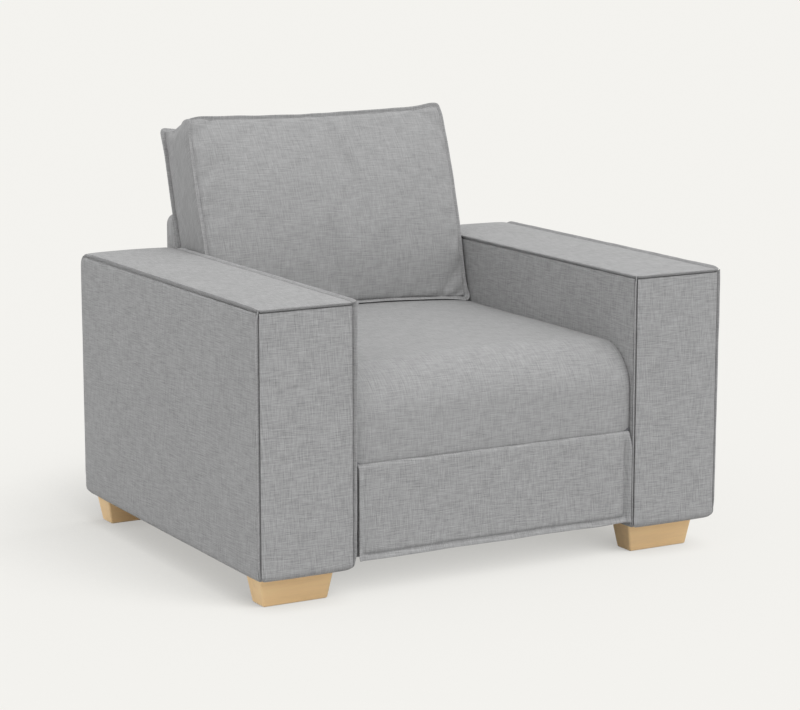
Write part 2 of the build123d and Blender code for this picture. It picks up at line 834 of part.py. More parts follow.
with BuildPart() as cushion_cover:
    add_cushion_body(0.0)
    # Flanges of the front and the rear seam, which leave the lower edges free
    extrude(
        cushion_section(0.0, 0.0, seat_crown, grow=cushion_flange_reach), amount=-flange_thickness
    )
    extrude(
        cushion_section(cushion_thickness, cushion_rear_low, 0.0, grow=cushion_flange_reach),
        amount=flange_thickness,
    )
    add_cushion_body(cover_thickness, Mode.SUBTRACT)
    with BuildSketch(zip_plane):
        Rectangle(zip_length, zip_slot_width)
    extrude(amount=2 * cover_thickness, both=True, mode=Mode.SUBTRACT)
save(cushion_cover.part, "cushion_cover")

# Zip: a tape with its teeth on the cushion's lower rear facet, and a slider with its pull
with BuildPart() as zip_tape:
    with BuildSketch(zip_plane):
        Rectangle(zip_length + 2 * zip_tape_end, zip_tape_width)
    extrude(amount=zip_tape_thickness)
    with BuildSketch(zip_plane.offset(zip_tape_thickness)):
        Rectangle(zip_length, zip_teeth_width)
    extrude(amount=zip_teeth_height)
save(zip_tape.part, "zip_tape")

with BuildPart() as zip_slider:
    slider_x = (zip_length - slider_length) / 2
    slider_bottom = zip_tape_thickness + zip_gap
    with BuildSketch(zip_plane.offset(slider_bottom)):
        with Locations((slider_x, 0)):
            RectangleRounded(slider_length, slider_width, slider_width / 4)
    extrude(amount=slider_height)
    with BuildSketch(zip_plane.offset(slider_bottom)):
        with Locations((slider_x, 0)):
            Rectangle(2 * slider_length, zip_teeth_width + 2 * zip_gap)
    extrude(amount=zip_teeth_height, mode=Mode.SUBTRACT)
    pull_x = slider_x + slider_length / 4 - pull_length / 2
    with BuildSketch(zip_plane.offset(slider_bottom + slider_height)):
        with Locations((pull_x, 0)):
            SlotOverall(pull_length, pull_width)
    extrude(amount=pull_thickness)
save(zip_slider.part, "zip_slider")
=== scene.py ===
import json
import math

import bmesh
import bpy
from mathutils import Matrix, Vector, noise

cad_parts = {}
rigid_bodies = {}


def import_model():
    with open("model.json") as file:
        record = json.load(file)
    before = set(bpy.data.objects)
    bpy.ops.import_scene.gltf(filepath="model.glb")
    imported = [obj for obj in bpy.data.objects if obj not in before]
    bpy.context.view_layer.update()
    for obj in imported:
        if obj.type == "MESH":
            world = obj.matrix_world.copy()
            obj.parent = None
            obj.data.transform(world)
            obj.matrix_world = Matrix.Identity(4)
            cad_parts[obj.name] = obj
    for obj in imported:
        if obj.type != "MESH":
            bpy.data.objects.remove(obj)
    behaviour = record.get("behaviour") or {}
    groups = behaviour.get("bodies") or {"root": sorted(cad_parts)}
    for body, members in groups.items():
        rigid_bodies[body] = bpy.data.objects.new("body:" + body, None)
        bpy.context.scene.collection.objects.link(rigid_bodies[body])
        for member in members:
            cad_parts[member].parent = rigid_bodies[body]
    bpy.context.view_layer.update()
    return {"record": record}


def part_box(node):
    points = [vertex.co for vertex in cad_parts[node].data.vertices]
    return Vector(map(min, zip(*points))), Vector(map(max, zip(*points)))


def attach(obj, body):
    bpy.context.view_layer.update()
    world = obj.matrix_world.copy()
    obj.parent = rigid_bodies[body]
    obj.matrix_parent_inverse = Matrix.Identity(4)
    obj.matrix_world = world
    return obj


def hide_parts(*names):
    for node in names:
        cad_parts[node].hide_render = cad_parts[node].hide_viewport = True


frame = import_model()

# An upholstered armchair, in metres: the sitter faces -Y, and the floor is at Z = 0.
# A ripple is given by its height, its size and its seed.

# Cloth, seams and stitches
CAD_FLANGE = 0.008  # how far the solid's flanges reach beyond the planes of an arm
FLANGE_THICKNESS = 0.0019
FLANGE_WAIST = 0.85  # share of that thickness between the seam and the tip
FLANGE_ROOT = 0.004  # how deep a flange goes into its seam
SEAM_DIP = 0.0070  # how far a panel is drawn in along its seams
SEAM_SHIFT = 0.0048  # how far a panel's plane lies outside the solid's edges
SEAM_ROLL = 0.0013  # how far from a seam a panel takes to roll out to its plane
SEAM_BULGE = 0.0044  # how far a panel leans over its seams
SEAM_BULGE_PLACE = 0.0028
CROWN_REACH = 0.035  # how far from a seam a panel takes to fill out
STITCH_LENGTH = 0.0034
STITCH_PITCH = 0.0048
STITCH_RADIUS = 0.0004
STITCH_SIDES = 6
# Rings of a stitch: shares of its length, and heights in radii
STITCH_RINGS = ((-0.5, -1.3), (-0.34, 0.3), (0.34, 0.3), (0.5, -1.3))
STITCH_SHARE = 0.52  # of a flange's reach, where its stitches run
JOIN_DISTANCE = 1e-5  # points closer than this are joined
FINE = (0.0005, 0.0012, 0.0020, 0.0030, 0.0045, 0.0075, 0.0125)  # places beside a seam
FAR = 1.0  # a distance at which no seam is felt
CLOSING = 0.01  # width on the flat cloth of the last strip round a block
# Where on the flat cloth the panels are cut, so that no two are alike
FLAT_AT = {
    "outer": 0.0, "inner": 1.3, "boxing": 2.3, "front": 2.9, "strip": 4.4, "back": 6.1, "rail": 8.2,
}

# Arms
ARM_CROWN = 0.0026
ARM_INNER_CROWN = 0.001
ARM_TOP_CROWN = 0.0022
ARM_REAR_CROWN = 0.002
ARM_LOWER_RADIUS = 0.013
ARM_REAR_RADIUS = 0.026
ARM_HEM = 0.005
ARM_TOP_SETTLE = 0.0016  # how far the cloth's top seams lie below the solid's
ARM_RIPPLE = 0.0007  # soft unevenness of the padding, broad and half as high also fine
ARM_RIPPLE_SIZES = (0.14, 0.045)
ARM_BACK_GAP = 0.0065  # from the back's face to the end of an arm's top flange
FRONT_FLANGE_LIFT = 0.008
FRONT_FLANGE_FINE = (0.002, 0.005, 0.009, 0.014)
FRONT_FLANGE_LOW = 0.75  # share of a front flange's reach towards its lower end
FRONT_FLANGE_END = (0.5, 0.022)  # share at the end itself, and the length of that taper
FRONT_FLANGE_WAVE = (0.08, 0.05)  # share by which its reach changes, and the size of that wave
TOP_FLANGE_END = (0.25, 0.02)
TOP_FLANGE_WAVE = (0.05, 0.06)
FLANGE_CORNER = 0.75  # share of the flange's reach at the outer corners
CORNER_BLEND = 0.016  # height over which a front flange turns to meet the top one
# How the flange tips lie off their seams: outward from the arm's middle, and up or forward
TOP_FLANGES = {
    "left": {"outer": (0.0066, 0.0110), "front": (0.0104, 0.0074), "inner": (0.0102, 0.0100)},
    "right": {"outer": (0.0066, 0.0108), "front": (0.0102, 0.0074), "inner": (0.0088, 0.0074)},
}
FRONT_FLANGES = {
    "left": {"outer": (0.0105, 0.0064), "inner": (0.0072, 0.0122)},
    "right": {"outer": (0.0052, 0.0088), "inner": (0.0092, 0.0074)},
}
REAR_FLANGE = (0.0044, 0.0044)  # hidden between the panels
REAR_FLANGE_LIFT = 0.012
REAR_CORNER_STEPS = 6
# Length over which the top flange falls to the rear one
REAR_FLANGE_BLEND = {"left": 0.05, "right": 0.006}
# How closely the front panel lies to its flanges
FRONT_HUG = {
    "left": {"outer": 1.0, "inner": 0.45, "top": 0.8},
    "right": {"outer": 0.5, "inner": 1.0, "top": 0.8},
}

# Seat
SEAT_CROWN = 0.012
SEAT_EDGE_DROP = 0.004  # of the top at the sides
SEAT_EDGE_POWER = 24
SEAT_SIDE_DRAW = 0.006  # of the front and the rear at the sides
SEAT_SIDE_POWER = 30
SEAT_SEAM_DIP = 0.006
SEAT_SEAM_ROLL = 0.0022
SEAT_FRONT_RADIUS = 0.088
SEAT_REAR_RADIUS = 0.012
SEAT_REAR_CUT = 0.0035  # of the rear upper corner, both ways
SEAT_BULGE = 0.0025
SEAT_FILL = 0.016  # how far from the seam the front takes to fill out
SEAT_SIDE_HEIGHT = 0.418
SEAT_LIP = 0.002  # how far the front reaches below its seam
SEAT_LIP_DEPTH = 0.004
SEAT_UNDER = 0.0075  # height of the underside above the seam
SEAT_UNDER_INSET = 0.03
SEAT_RIPPLES = ((0.0012, 0.16, 31), (0.0006, 0.05, 37))
SEAT_FINE = (0.002, 0.005, 0.010, 0.016)
SEAM_HEIGHT = 0.250

# Linings over the front rail and under the seat
RAIL_HALF = 0.0007  # half of the cloth's thickness
RAIL_GAP = 0.0012  # from the rail to the middle of the cloth
RAIL_INSET = 0.0005
RAIL_TOP = 0.006  # how far the lining reaches above the skirt's seam
RAIL_DROP = 0.001  # and below the rail
RAIL_RIPPLE = (0.0006, 0.08, 81)
DUST_SAG = 0.004
DUST_SAG_ZONE = (0.02, 0.22)  # distances from the edge between which the lining sags
DUST_RIPPLE = (0.0006, 0.06, 71)
DUST_HELD = 0.03  # width of the border that is held by the rails

# Back
BACK_SIDE_RADIUS = 0.0035
BACK_TOP_RADIUS = 0.014
BACK_REAR_RADIUS = 0.014
BACK_REAR_LEAST = 0.001
BACK_TOP_FLAT = 0.005  # least width of the flat top
BACK_TOP_BAND = 0.006  # where the leaning front ends below the top
BACK_LIFT = 0.002
BACK_REAR_OUT = 0.0006
BACK_UNDER_INSET = 0.012
BACK_RIPPLE = (0.0007, 0.15, 51)
BACK_CROWN = 0.003
BACK_STITCH_INSET = 0.024
BACK_STITCH_DIP = (0.0016, 0.0022)  # depth and half width
BACK_STITCH_SINK = 0.0014
BACK_STITCH_LIFT = 0.01
BACK_FINE = (
    0.0002, 0.0008, 0.0018, 0.0034, 0.0055, 0.0085, 0.012,
    0.017, 0.021, 0.0226, 0.024, 0.0254, 0.027, 0.032,
)
LEAN = math.radians(17.0)

# Back cushion
CUSHION_HEIGHT = 0.407
CUSHION_THICKNESS = 0.126
CUSHION_BOTTOM_HALF = 0.2848
CUSHION_TOP_HALF = 0.285
CUSHION_FLANGE = 0.0075
CUSHION_FLANGE_WAVE = (0.2, 0.05)
CUSHION_CAD_FLANGE = 0.007  # of the solid whose box gives the cushion's place
CUSHION_EAR = 1.6  # how much further the flange stands out at a lower corner
# Upper corners: side, lifts of the front and the rear one, and how far their flanges stand out
CUSHION_EARS = ((1, (0.0065, 0.004), (1.1, 1.4)), (-1, (0.0040, 0.003), (0.4, 1.1)))
CUSHION_EAR_SIZE = 0.03
CUSHION_EAR_SPREAD = 0.35  # how far an upper corner goes outward, as a share of its lift
CUSHION_ROUND = 0.004  # how far the front corners are rounded off
CUSHION_ROUND_SIZE = 0.014
# How far a flange leans away from the cushion's middle plane along each edge
FLANGE_LEANS = {"top": 0.35, "bottom": 0.8, "left": 0.12, "right": 0.35}
CUSHION_RISE = 0.002
CUSHION_SEAT_GAP = 0.0025
CUSHION_FRONT_GAP = 0.0055  # from the seat gap to the front seam, which its flange covers
CUSHION_SIDE_BULGE = 0.0042
CUSHION_SIDE_SCALE = 6.75  # brings the peak of share**2 * (1 - share) to 1
CUSHION_BOW = 0.0065  # of the front seams, forward
CUSHION_TOP_SAG = 0.007
CUSHION_DRAWN_IN = 0.003
CUSHION_PUFF = 0.0044  # of the top behind the front seam
CUSHION_ROLL = 0.0058  # how far the front panel stands off its seams
CUSHION_ROLL_SIZE = 0.0022
CUSHION_SETTLE = 0.65  # below 1: the filling lies lower in the cover
CUSHION_MID_LIFT = 0.016
CUSHION_REAR_LIFT = 0.054
CUSHION_START_CROWN = 0.0095
CUSHION_FLAT_SHIFT = 9  # moves the rear panel on the flat cloth, by its depth
# Gathers of the front panel: height, reach from the lower seam, strength and reach at the sides
CUSHION_PUCKER = 0.0052
PUCKER_LOW = 0.055
PUCKER_SIDE = (0.45, 0.04)
PUCKER_FREE = (0.004, 0.03)  # distances from the lower and side seams over which they begin
PUCKER_TOP_FREE = (0.004, 0.05)
PUCKER_SLANT = (0.35, 0.4)
PUCKER_SIZE = 0.045
PUCKER_SEED = 77
# Swelling: what is held beside the seams, how far points may move, and the simulation's settings
ON_PANEL = 0.001  # points this close to a panel's plane belong to it
HELD_INSET = 0.012
HELD_DEPTH = 0.002
HELD_HEIGHT = 0.11
HELD_SLOPE = (0.014, 0.80)  # height at the front, and rise towards the rear
SWELL_FRONT = 0.022
SWELL_REAR = 0.010
SWELL_BOXING = 0.006
SWELL_FRAMES = 20
SWELL_SETTINGS = {
    "quality": 8,
    "mass": 0.3,
    "tension_stiffness": 22.0,
    "compression_stiffness": 22.0,
    "shear_stiffness": 8.0,
    "bending_stiffness": 0.8,
    "shrink_min": -0.02,  # the cover is larger than its seams by this share
    "vertex_group_mass": "held",
    "use_pressure": True,
    "uniform_pressure_force": 4.0,
}

# Skirt
SKIRT_SEAM_RISE = 0.0008
SKIRT_BORDER = 0.010
SKIRT_BORDER_THICKNESS = 0.002
SKIRT_THICKNESS = 0.0054
SKIRT_FILL = 0.005  # how far from the border the panel takes to fill out
SKIRT_ROLL = 0.005  # how far the skirt's upper edge goes into its seam
SKIRT_ROLL_SIZE = 0.0018
SKIRT_LOOSE = 0.03  # how far below the seam the cloth hangs free
SKIRT_HEM_TURN = 0.0022  # how far the border's edges turn forward
SKIRT_SIDE_TURNS = {"left": 0.0030, "right": 0.0086}
SKIRT_RIGHT_REACH = 0.0038  # how far the right border stands out beyond the solid
SKIRT_LEFT_MARK = 0.2  # how strongly the left border is marked, against the hem
SKIRT_LEFT_SIZE = 0.03
SKIRT_LEFT_HEIGHTS = (0.008, 0.03)  # above the hem, where that begins
SKIRT_CREASE = (0.0034, 0.0024)  # of the border's seam: depth and half width
SKIRT_PUCKER = (0.018, 41)  # size and seed
SKIRT_PUCKER_REACH = 0.016
SKIRT_PUCKER_STRETCH = 0.35
SKIRT_PUCKER_HANG = 0.0005
SKIRT_PUCKER_THICK = 0.0008
SKIRT_HANG = (0.0012, 0.11, 43)
SKIRT_HANG_STRETCH = 0.3
SKIRT_WAVE = (0.0014, 0.07, 47)  # of the hem, up and down
SKIRT_WAVE_HEIGHT = 0.05
SKIRT_STITCH_DROP = 0.01
SKIRT_STITCH_SINK = 0.0002
SKIRT_FINE = (0.0008, 0.0022, 0.0045, 0.0080, SKIRT_BORDER, 0.0118, 0.0145, 0.019, 0.026)

# Camera, found from the corners of the two arms
CAMERA_TARGET = Vector((0.0167, -0.0175, 0.3590))
CAMERA_AZIMUTH = math.radians(-29.30)
CAMERA_ELEVATION = math.radians(10.58)
CAMERA_DISTANCE = 5.0369
CAMERA_LENS = 114.81
SENSOR_WIDTH = 36.0
CLIP_END = 200.0

# Light and background
BACKGROUND = (0.900, 0.890, 0.858)
AMBIENT = 0.95
KEY = 0.27
KEY_FROM = Vector((0.06, -0.50, 0.86))
KEY_ANGLE = math.radians(34.0)
FLOOR_REACH = 60.0
FLOOR_DROP = 0.0005
FLOOR_COLOUR = (0.775, 0.768, 0.742)
FLOOR_BOUNCE = (0.55, 0.55, 0.55)  # how much light the floor returns to the object
PAINTED_SHADOW_SHARE = 0.85  # share of the floor's seen colour that is a glow with painted shadow, which only darkens near the object
# Painted shadows in the floor's glow: how far occlusion is looked for, and tones by how open the floor is
CONTACT_REACH = 0.07
CONTACT_SAMPLES = 8
PAINTED_CONTACT_SHADES = ((0.0, 0.74), (0.45, 0.90), (0.85, 1.0))
CAST_REACH = 0.8
CAST_SAMPLES = 24
PAINTED_CAST_FROM = Vector((0.36, -0.88, 0.30))  # direction about which the painted broad shadow's occlusion is looked for, as if its light came from there
PAINTED_CAST_SHADES = ((0.43, 0.61), (0.78, 1.0))

SIDES = {"left": -1, "right": 1}
scene = bpy.context.scene


def spread(start, end, count, fine=()):
    """A number of places from start to end, some of them at the fine distances from both ends."""
    length = abs(end - start)
    way = 1 if end > start else -1
    edge = fine[-1] if fine else 0.0
    near = [0.0, *fine[:-1]] if fine else []
    gaps = count - 2 * len(near) - 1
    inner = [edge + (length - 2 * edge) * i / gaps for i in range(gaps + 1)]
    places = near + inner + [length - d for d in reversed(near)]
    return [start + way * place for place in places]


def quarter(steps):
    """Angles from 0 to 90 degrees in even steps."""
    return [math.radians(90.0 * step / steps) for step in range(steps + 1)]


def ripple(point, size, seed):
    """A smooth random height between about -1 and 1, the same on every run."""
    return noise.noise(Vector(point) / size + Vector((seed * 7.3, seed * 3.1, seed * 5.7)))


def ripples(point, *layers):
    """The sum of ripples that are each given by height, size and seed."""
    return sum(height * ripple(point, size, seed) for height, size, seed in layers)


def bell(distance, size):
    """1 at no distance, falling smoothly to nothing."""
    return math.exp(-((distance / size) ** 2))


def filled(distance, size):
    """0 at no distance, rising towards 1."""
    return 1.0 - math.exp(-max(distance, 0.0) / size)


def smooth_step(value, low, high):
    """0 below low, 1 above high, and a smooth rise between."""
    t = min(max((value - low) / (high - low), 0.0), 1.0)
    return t * t * (3 - 2 * t)


def stand_out(crown, *distances):
    """How far cloth stands out at its distances from the seams: drawn in on them, full between them."""
    roll, fill = 1.0, 1.0
    for distance in distances:
        roll *= filled(distance, SEAM_ROLL)
        fill *= filled(distance, CROWN_REACH)
    return crown * fill - SEAM_DIP * (1.0 - roll)


def overhang(distance):
    """How far a panel leans over its seam, towards the flange, at a distance from it."""
    share = (max(distance, 0.0) / SEAM_BULGE_PLACE) ** 2
    return SEAM_BULGE * share * math.exp(1.0 - share)


def outline_lengths(outline):
    """The way along an outline of (Y, Z, ...) places, at each of them."""
    lengths = [0.0]
    for a, b in zip(outline, outline[1:]):
        lengths.append(lengths[-1] + math.hypot(b[0] - a[0], b[1] - a[1]))
    return lengths


def path_lengths(path):
    """The way along a path of points, at each of them."""
    lengths = [0.0]
    for a, b in zip(path, path[1:]):
        lengths.append(lengths[-1] + (b - a).length)
    return lengths


def closed(row):
    """A row that ends on its first point again, a little further along the flat cloth."""
    across, along = row[-1][1]
    return [*row, (row[0][0], (across, along + CLOSING))]


def three_sides(left, right, start, turn, y, upright_count, level_count):
    """A seam that runs up or down one side, across, and back along the other side."""
    seam = [Vector((left, y, z)) for z in spread(start, turn, upright_count)]
    seam += [Vector((x, y, turn)) for x in spread(left, right, level_count)[1:]]
    return seam + [Vector((right, y, z)) for z in spread(turn, start, upright_count)[1:]]


def wavy(path, tips, wave, seed):
    """The tips of a flange, each a little further out or in."""
    share, size = wave
    return [tip * (1.0 + share * ripple(point, size, seed)) for point, tip in zip(path, tips)]


def smooth(piece):
    """Subdivide a piece once."""
    smoother = piece.modifiers.new("smoother", "SUBSURF")
    smoother.levels = smoother.render_levels = 1


class Cloth:
    """Collects grids of points, each with its place on the flat cloth, and makes one mesh of them."""

    def __init__(self):
        self.points = []
        self.faces = []
        self.flats = []

    def grid(self, rows, flip=False):
        """Add rows of pairs: a point and its place on the flat cloth, in metres."""
        start = len(self.points)
        wide = len(rows[0])
        for row in rows:
            self.points.extend(cell[0] for cell in row)
        for r in range(len(rows) - 1):
            for c in range(wide - 1):
                cells = [(r, c), (r, c + 1), (r + 1, c + 1), (r + 1, c)]
                if flip:
                    cells.reverse()
                self.faces.append([start + i * wide + j for i, j in cells])
                self.flats.append([rows[i][j][1] for i, j in cells])

    def cap(self, ring, flip=False):
        """Close a ring of points with a fan of faces round its middle."""
        start = len(self.points)
        middle = sum((Vector(p) for p in ring), Vector()) / len(ring)
        self.points.extend([*ring, middle])
        hub = start + len(ring)
        for i in range(len(ring)):
            corners = [start + i, start + (i + 1) % len(ring), hub]
            if flip:
                corners.reverse()
            self.faces.append(corners)
            self.flats.append([(self.points[k][1], self.points[k][2]) for k in corners])

    def tube(self, rows):
        """Add rows that each end on their first point, with a cap on the first and the last row."""
        self.grid(rows)
        self.cap([cell[0] for cell in rows[0][:-1]])
        self.cap([cell[0] for cell in rows[-1][:-1]], flip=True)

    def slab(self, rows, normal, flip=False):
        """A closed sheet with a round rim, from rows of middle points, half thicknesses and flat places."""
        high, wide = len(rows), len(rows[0])
        face = [[(point + normal * half, flat) for point, half, flat in row] for row in rows]
        rear = [[(point - normal * half, flat) for point, half, flat in row] for row in rows]
        self.grid(face, flip)
        self.grid(rear, not flip)
        rim = [(0, c) for c in range(wide)]
        rim += [(r, wide - 1) for r in range(1, high)]
        rim += [(high - 1, c) for c in range(wide - 2, -1, -1)]
        rim += [(r, 0) for r in range(high - 2, -1, -1)]
        edge = []
        for r, c in rim:
            point, half, flat = rows[r][c]
            inner = rows[min(max(r, 1), high - 2)][min(max(c, 1), wide - 2)][0]
            edge.append((point + (point - inner).normalized() * half, flat))
        self.grid([[rear[r][c] for r, c in rim], edge, [face[r][c] for r, c in rim]], flip)

    def flange(self, path, tips, sewing, loop=False):
        """A flat edge of two joined cloths that stands out along a seam, with stitches on both faces."""
        half = FLANGE_THICKNESS / 2
        waist = half * FLANGE_WAIST
        count = len(path)
        lengths = path_lengths([*path, path[0]])
        rows, seam = [], []
        for i, (point, tip) in enumerate(zip(path, tips)):
            before = path[i - 1] if loop else path[max(i - 1, 0)]
            after = path[(i + 1) % count] if loop else path[min(i + 1, count - 1)]
            reach = tip.length
            out = tip / reach
            normal = (after - before).cross(out).normalized()
            upper = [(-FLANGE_ROOT, half), (0.0, waist), (reach * 0.5, waist), (reach - half, half)]
            lower = [(o, -n) for o, n in reversed(upper)]
            section = [*upper, (reach, 0.0), *lower, upper[0]]
            rows.append([(point + out * o + normal * n, (lengths[i], o + n)) for o, n in section])
            seam.append((point + out * reach * STITCH_SHARE, normal))
        if loop:
            rows.append([(point, (lengths[-1], flat[1])) for point, flat in rows[0]])
            seam.append(seam[0])
            self.grid(rows)
        else:
            self.tube(rows)
        for way in (-1, 1):
            row = [(point + normal * way * waist, normal * way) for point, normal in seam]
            sewing.stitches([cell[0] for cell in row], [cell[1] for cell in row])

    def stitches(self, path, normals):
        """A row of thread stitches that lie on a seam."""
        lengths = path_lengths(path)
        place = STITCH_PITCH
        at = 0
        while place < lengths[-1] - STITCH_PITCH:
            while lengths[at + 1] < place:
                at += 1
            share = (place - lengths[at]) / (lengths[at + 1] - lengths[at])
            middle = path[at].lerp(path[at + 1], share)
            along = (path[at + 1] - path[at]).normalized()
            up = normals[at].lerp(normals[at + 1], share).normalized()
            self.stitch(middle, along, up)
            place += STITCH_PITCH

    def stitch(self, middle, along, up):
        """One stitch: a short round bar whose ends go down into the cloth."""
        side = along.cross(up).normalized()
        angles = [k * math.tau / STITCH_SIDES for k in range(STITCH_SIDES)]
        rings = []
        for share, height in STITCH_RINGS:
            centre = middle + along * (share * STITCH_LENGTH) + up * (height * STITCH_RADIUS)
            ring = [centre + (side * math.cos(a) + up * math.sin(a)) * STITCH_RADIUS for a in angles]
            rings.append([(point, (0.0, 0.0)) for point in (*ring, ring[0])])
        self.tube(rings)

    def piece(self, name, material, subdivide=True):
        """Make the object, with the seams between its grids joined."""
        mesh = bpy.data.meshes.new(name)
        mesh.from_pydata(self.points, [], self.faces)
        layer = mesh.uv_layers.new(name="UVMap")
        for polygon, flats in zip(mesh.polygons, self.flats):
            polygon.use_smooth = True
            for corner, flat in zip(polygon.loop_indices, flats):
                layer.data[corner].uv = flat
        mesh.materials.append(material)
        body = bmesh.new()
        body.from_mesh(mesh)
        bmesh.ops.remove_doubles(body, verts=body.verts, dist=JOIN_DISTANCE)
        bmesh.ops.recalc_face_normals(body, faces=body.faces)
        body.to_mesh(mesh)
        body.free()
        made = bpy.data.objects.new(name, mesh)
        scene.collection.objects.link(made)
        if subdivide:
            smooth(made)
        return made


# Materials
def new_material(name):
    """An empty node material with its shader."""
    material = bpy.data.materials.new(name)
    material.use_nodes = True
    return material, material.node_tree.nodes["Principled BSDF"]


def fill_in(node, values):
    """Set inputs of a node by their names."""
    for key, value in values.items():
        node.inputs[key].default_value = value


class Wiring:
    """Short calls that add nodes to a material and join them."""

    def __init__(self, material):
        self.nodes = material.node_tree.nodes
        self.links = material.node_tree.links

    def node(self, kind, **values):
        made = self.nodes.new(kind)
        for key, value in values.items():
            setattr(made, key, value)
        return made

    def put(self, source, target):
        self.links.new(source, target)

    def scaled(self, source, factors):
        multiply = self.node("ShaderNodeVectorMath", operation="MULTIPLY")
        self.put(source, multiply.inputs[0])
        multiply.inputs[1].default_value = factors
        return multiply.outputs[0]

    def sheared(self, source, *rows):
        """Coordinates that are each a weighted sum of the source's."""
        joined = self.node("ShaderNodeCombineXYZ")
        for row, socket in zip(rows, joined.inputs):
            total = self.node("ShaderNodeVectorMath", operation="DOT_PRODUCT")
            self.put(source, total.inputs[0])
            total.inputs[1].default_value = row
            self.put(total.outputs["Value"], socket)
        return joined.outputs[0]

    def noise(self, source, factors, detail=2.0, roughness=0.5):
        texture = self.node("ShaderNodeTexNoise")
        self.put(self.scaled(source, factors), texture.inputs["Vector"])
        fill_in(texture, {"Scale": 1.0, "Detail": detail, "Roughness": roughness})
        return texture.outputs[0]

    def math(self, operation, first, second):
        made = self.node("ShaderNodeMath", operation=operation)
        for socket, value in zip(made.inputs, (first, second)):
            if isinstance(value, (int, float)):
                socket.default_value = value
            else:
                self.put(value, socket)
        return made.outputs[0]

    def total(self, *weighted):
        """Sum of (source, weight) pairs."""
        result = self.math("MULTIPLY", *weighted[0])
        for source, weight in weighted[1:]:
            result = self.math("ADD", result, self.math("MULTIPLY", source, weight))
        return result

    def ramp(self, source, *stops):
        made = self.node("ShaderNodeValToRGB")
        self.put(source, made.inputs[0])
        elements = made.color_ramp.elements
        while len(elements) < len(stops):
            elements.new(0.5)
        for element, (place, colour) in zip(elements, stops):
            element.position = place
            element.color = (*colour, 1.0)
        return made.outputs[0]

    def bump(self, height, strength, distance, shader):
        made = self.node("ShaderNodeBump")
        fill_in(made, {"Strength": strength, "Distance": distance})
        self.put(height, made.inputs["Height"])
        self.put(made.outputs[0], shader.inputs["Normal"])

    def mixed(self, share, first, second):
        """A shader between two, by the share of the second."""
        made = self.node("ShaderNodeMixShader")
        for source, socket in zip((share, first, second), made.inputs):
            self.put(source, socket)
        return made.outputs[0]

    def looked_at(self):
        """1 for rays from the camera, and for what mirrors and glass show; 0 for light on the object."""
        path = self.node("ShaderNodeLightPath").outputs
        seen = self.math("MAXIMUM", path["Is Camera Ray"], path["Is Glossy Ray"])
        return self.math("MAXIMUM", seen, path["Is Transmission Ray"])


def shade(colour, factor):
    """A colour made lighter or darker."""
    return tuple(min(channel * factor, 1.0) for channel in colour)


def woven(name, colour, slub=1.0, contrast=0.52, sheen=0.1):
    """Cloth with uneven threads that run both ways along its flat coordinates."""
    material, shader = new_material(name)
    wires = Wiring(material)
    flat = wires.node("ShaderNodeUVMap", uv_map="UVMap").outputs[0]
    # Each thread is shifted along against the next, so that no pattern of squares shows
    weft_place = wires.sheared(flat, (28.0, 370.0, 0.0), (0.0, 880.0, 0.0))
    warp_place = wires.sheared(flat, (880.0, 0.0, 0.0), (350.0, 34.0, 0.0))
    size = (1 / slub, 1 / slub, 1.0)
    weft = wires.noise(weft_place, size, 1.0)
    warp = wires.noise(warp_place, size, 1.0)
    fine_weft = wires.noise(flat, (120 / slub, 1500 / slub, 1.0), 1.0)
    fine_warp = wires.noise(flat, (1500 / slub, 120 / slub, 1.0), 1.0)
    cloud = wires.noise(flat, (7.0, 7.0, 1.0), 3.0)
    tone = wires.total((weft, 0.38), (warp, 0.34), (fine_weft, 0.12), (fine_warp, 0.12), (cloud, 0.04))
    dark, light = shade(colour, 1 - contrast), shade(colour, 1 + contrast)
    wires.put(wires.ramp(tone, (0.30, dark), (0.50, colour), (0.70, light)), shader.inputs["Base Color"])
    height = wires.total((weft, 0.5), (warp, 0.5), (fine_weft, 0.6), (fine_warp, 0.6))
    wires.bump(height, 0.35, 0.0012, shader)
    fill_in(shader, {"Roughness": 0.92, "Specular IOR Level": 0.15})
    fill_in(shader, {"Sheen Weight": sheen, "Sheen Roughness": 0.5})
    return material


def timber(name, colour, grain, gloss, contrast=0.22):
    """Wood with streaks and fine pores that run along the axis with the small factor."""
    material, shader = new_material(name)
    wires = Wiring(material)
    place = wires.node("ShaderNodeTexCoord").outputs["Object"]
    streaks = wires.noise(place, grain, 4.0, 0.62)
    rings = wires.noise(place, tuple(g * 0.28 for g in grain))
    pores = wires.noise(place, tuple(g * 9.0 for g in grain), 1.0)
    tone = wires.total((streaks, 0.5), (rings, 0.4), (pores, 0.1))
    dark, light = shade(colour, 1 - contrast), shade(colour, 1 + contrast * 0.7)
    wires.put(wires.ramp(tone, (0.34, dark), (0.50, colour), (0.68, light)), shader.inputs["Base Color"])
    wires.bump(wires.total((streaks, 0.4), (pores, 0.6)), 0.25, 0.0006, shader)
    fill_in(shader, {"Roughness": gloss, "Specular IOR Level": 0.4})
    return material


def speckled(name, colour, size, rough, metal=0.0, depth=0.0006, contrast=0.25):
    """Foam, felt, fibre or metal: fine grains of a slightly different tone."""
    material, shader = new_material(name)
    wires = Wiring(material)
    place = wires.node("ShaderNodeTexCoord").outputs["Object"]
    grains = wires.noise(place, (size, size, size), 2.0, 0.6)
    broad = wires.noise(place, (size / 16,) * 3)
    tone = wires.total((grains, 0.6), (broad, 0.4))
    dark, light = shade(colour, 1 - contrast), shade(colour, 1 + contrast)
    wires.put(wires.ramp(tone, (0.30, dark), (0.70, light)), shader.inputs["Base Color"])
    wires.bump(grains, 0.3, depth, shader)
    fill_in(shader, {"Roughness": rough, "Metallic": metal})
    return material


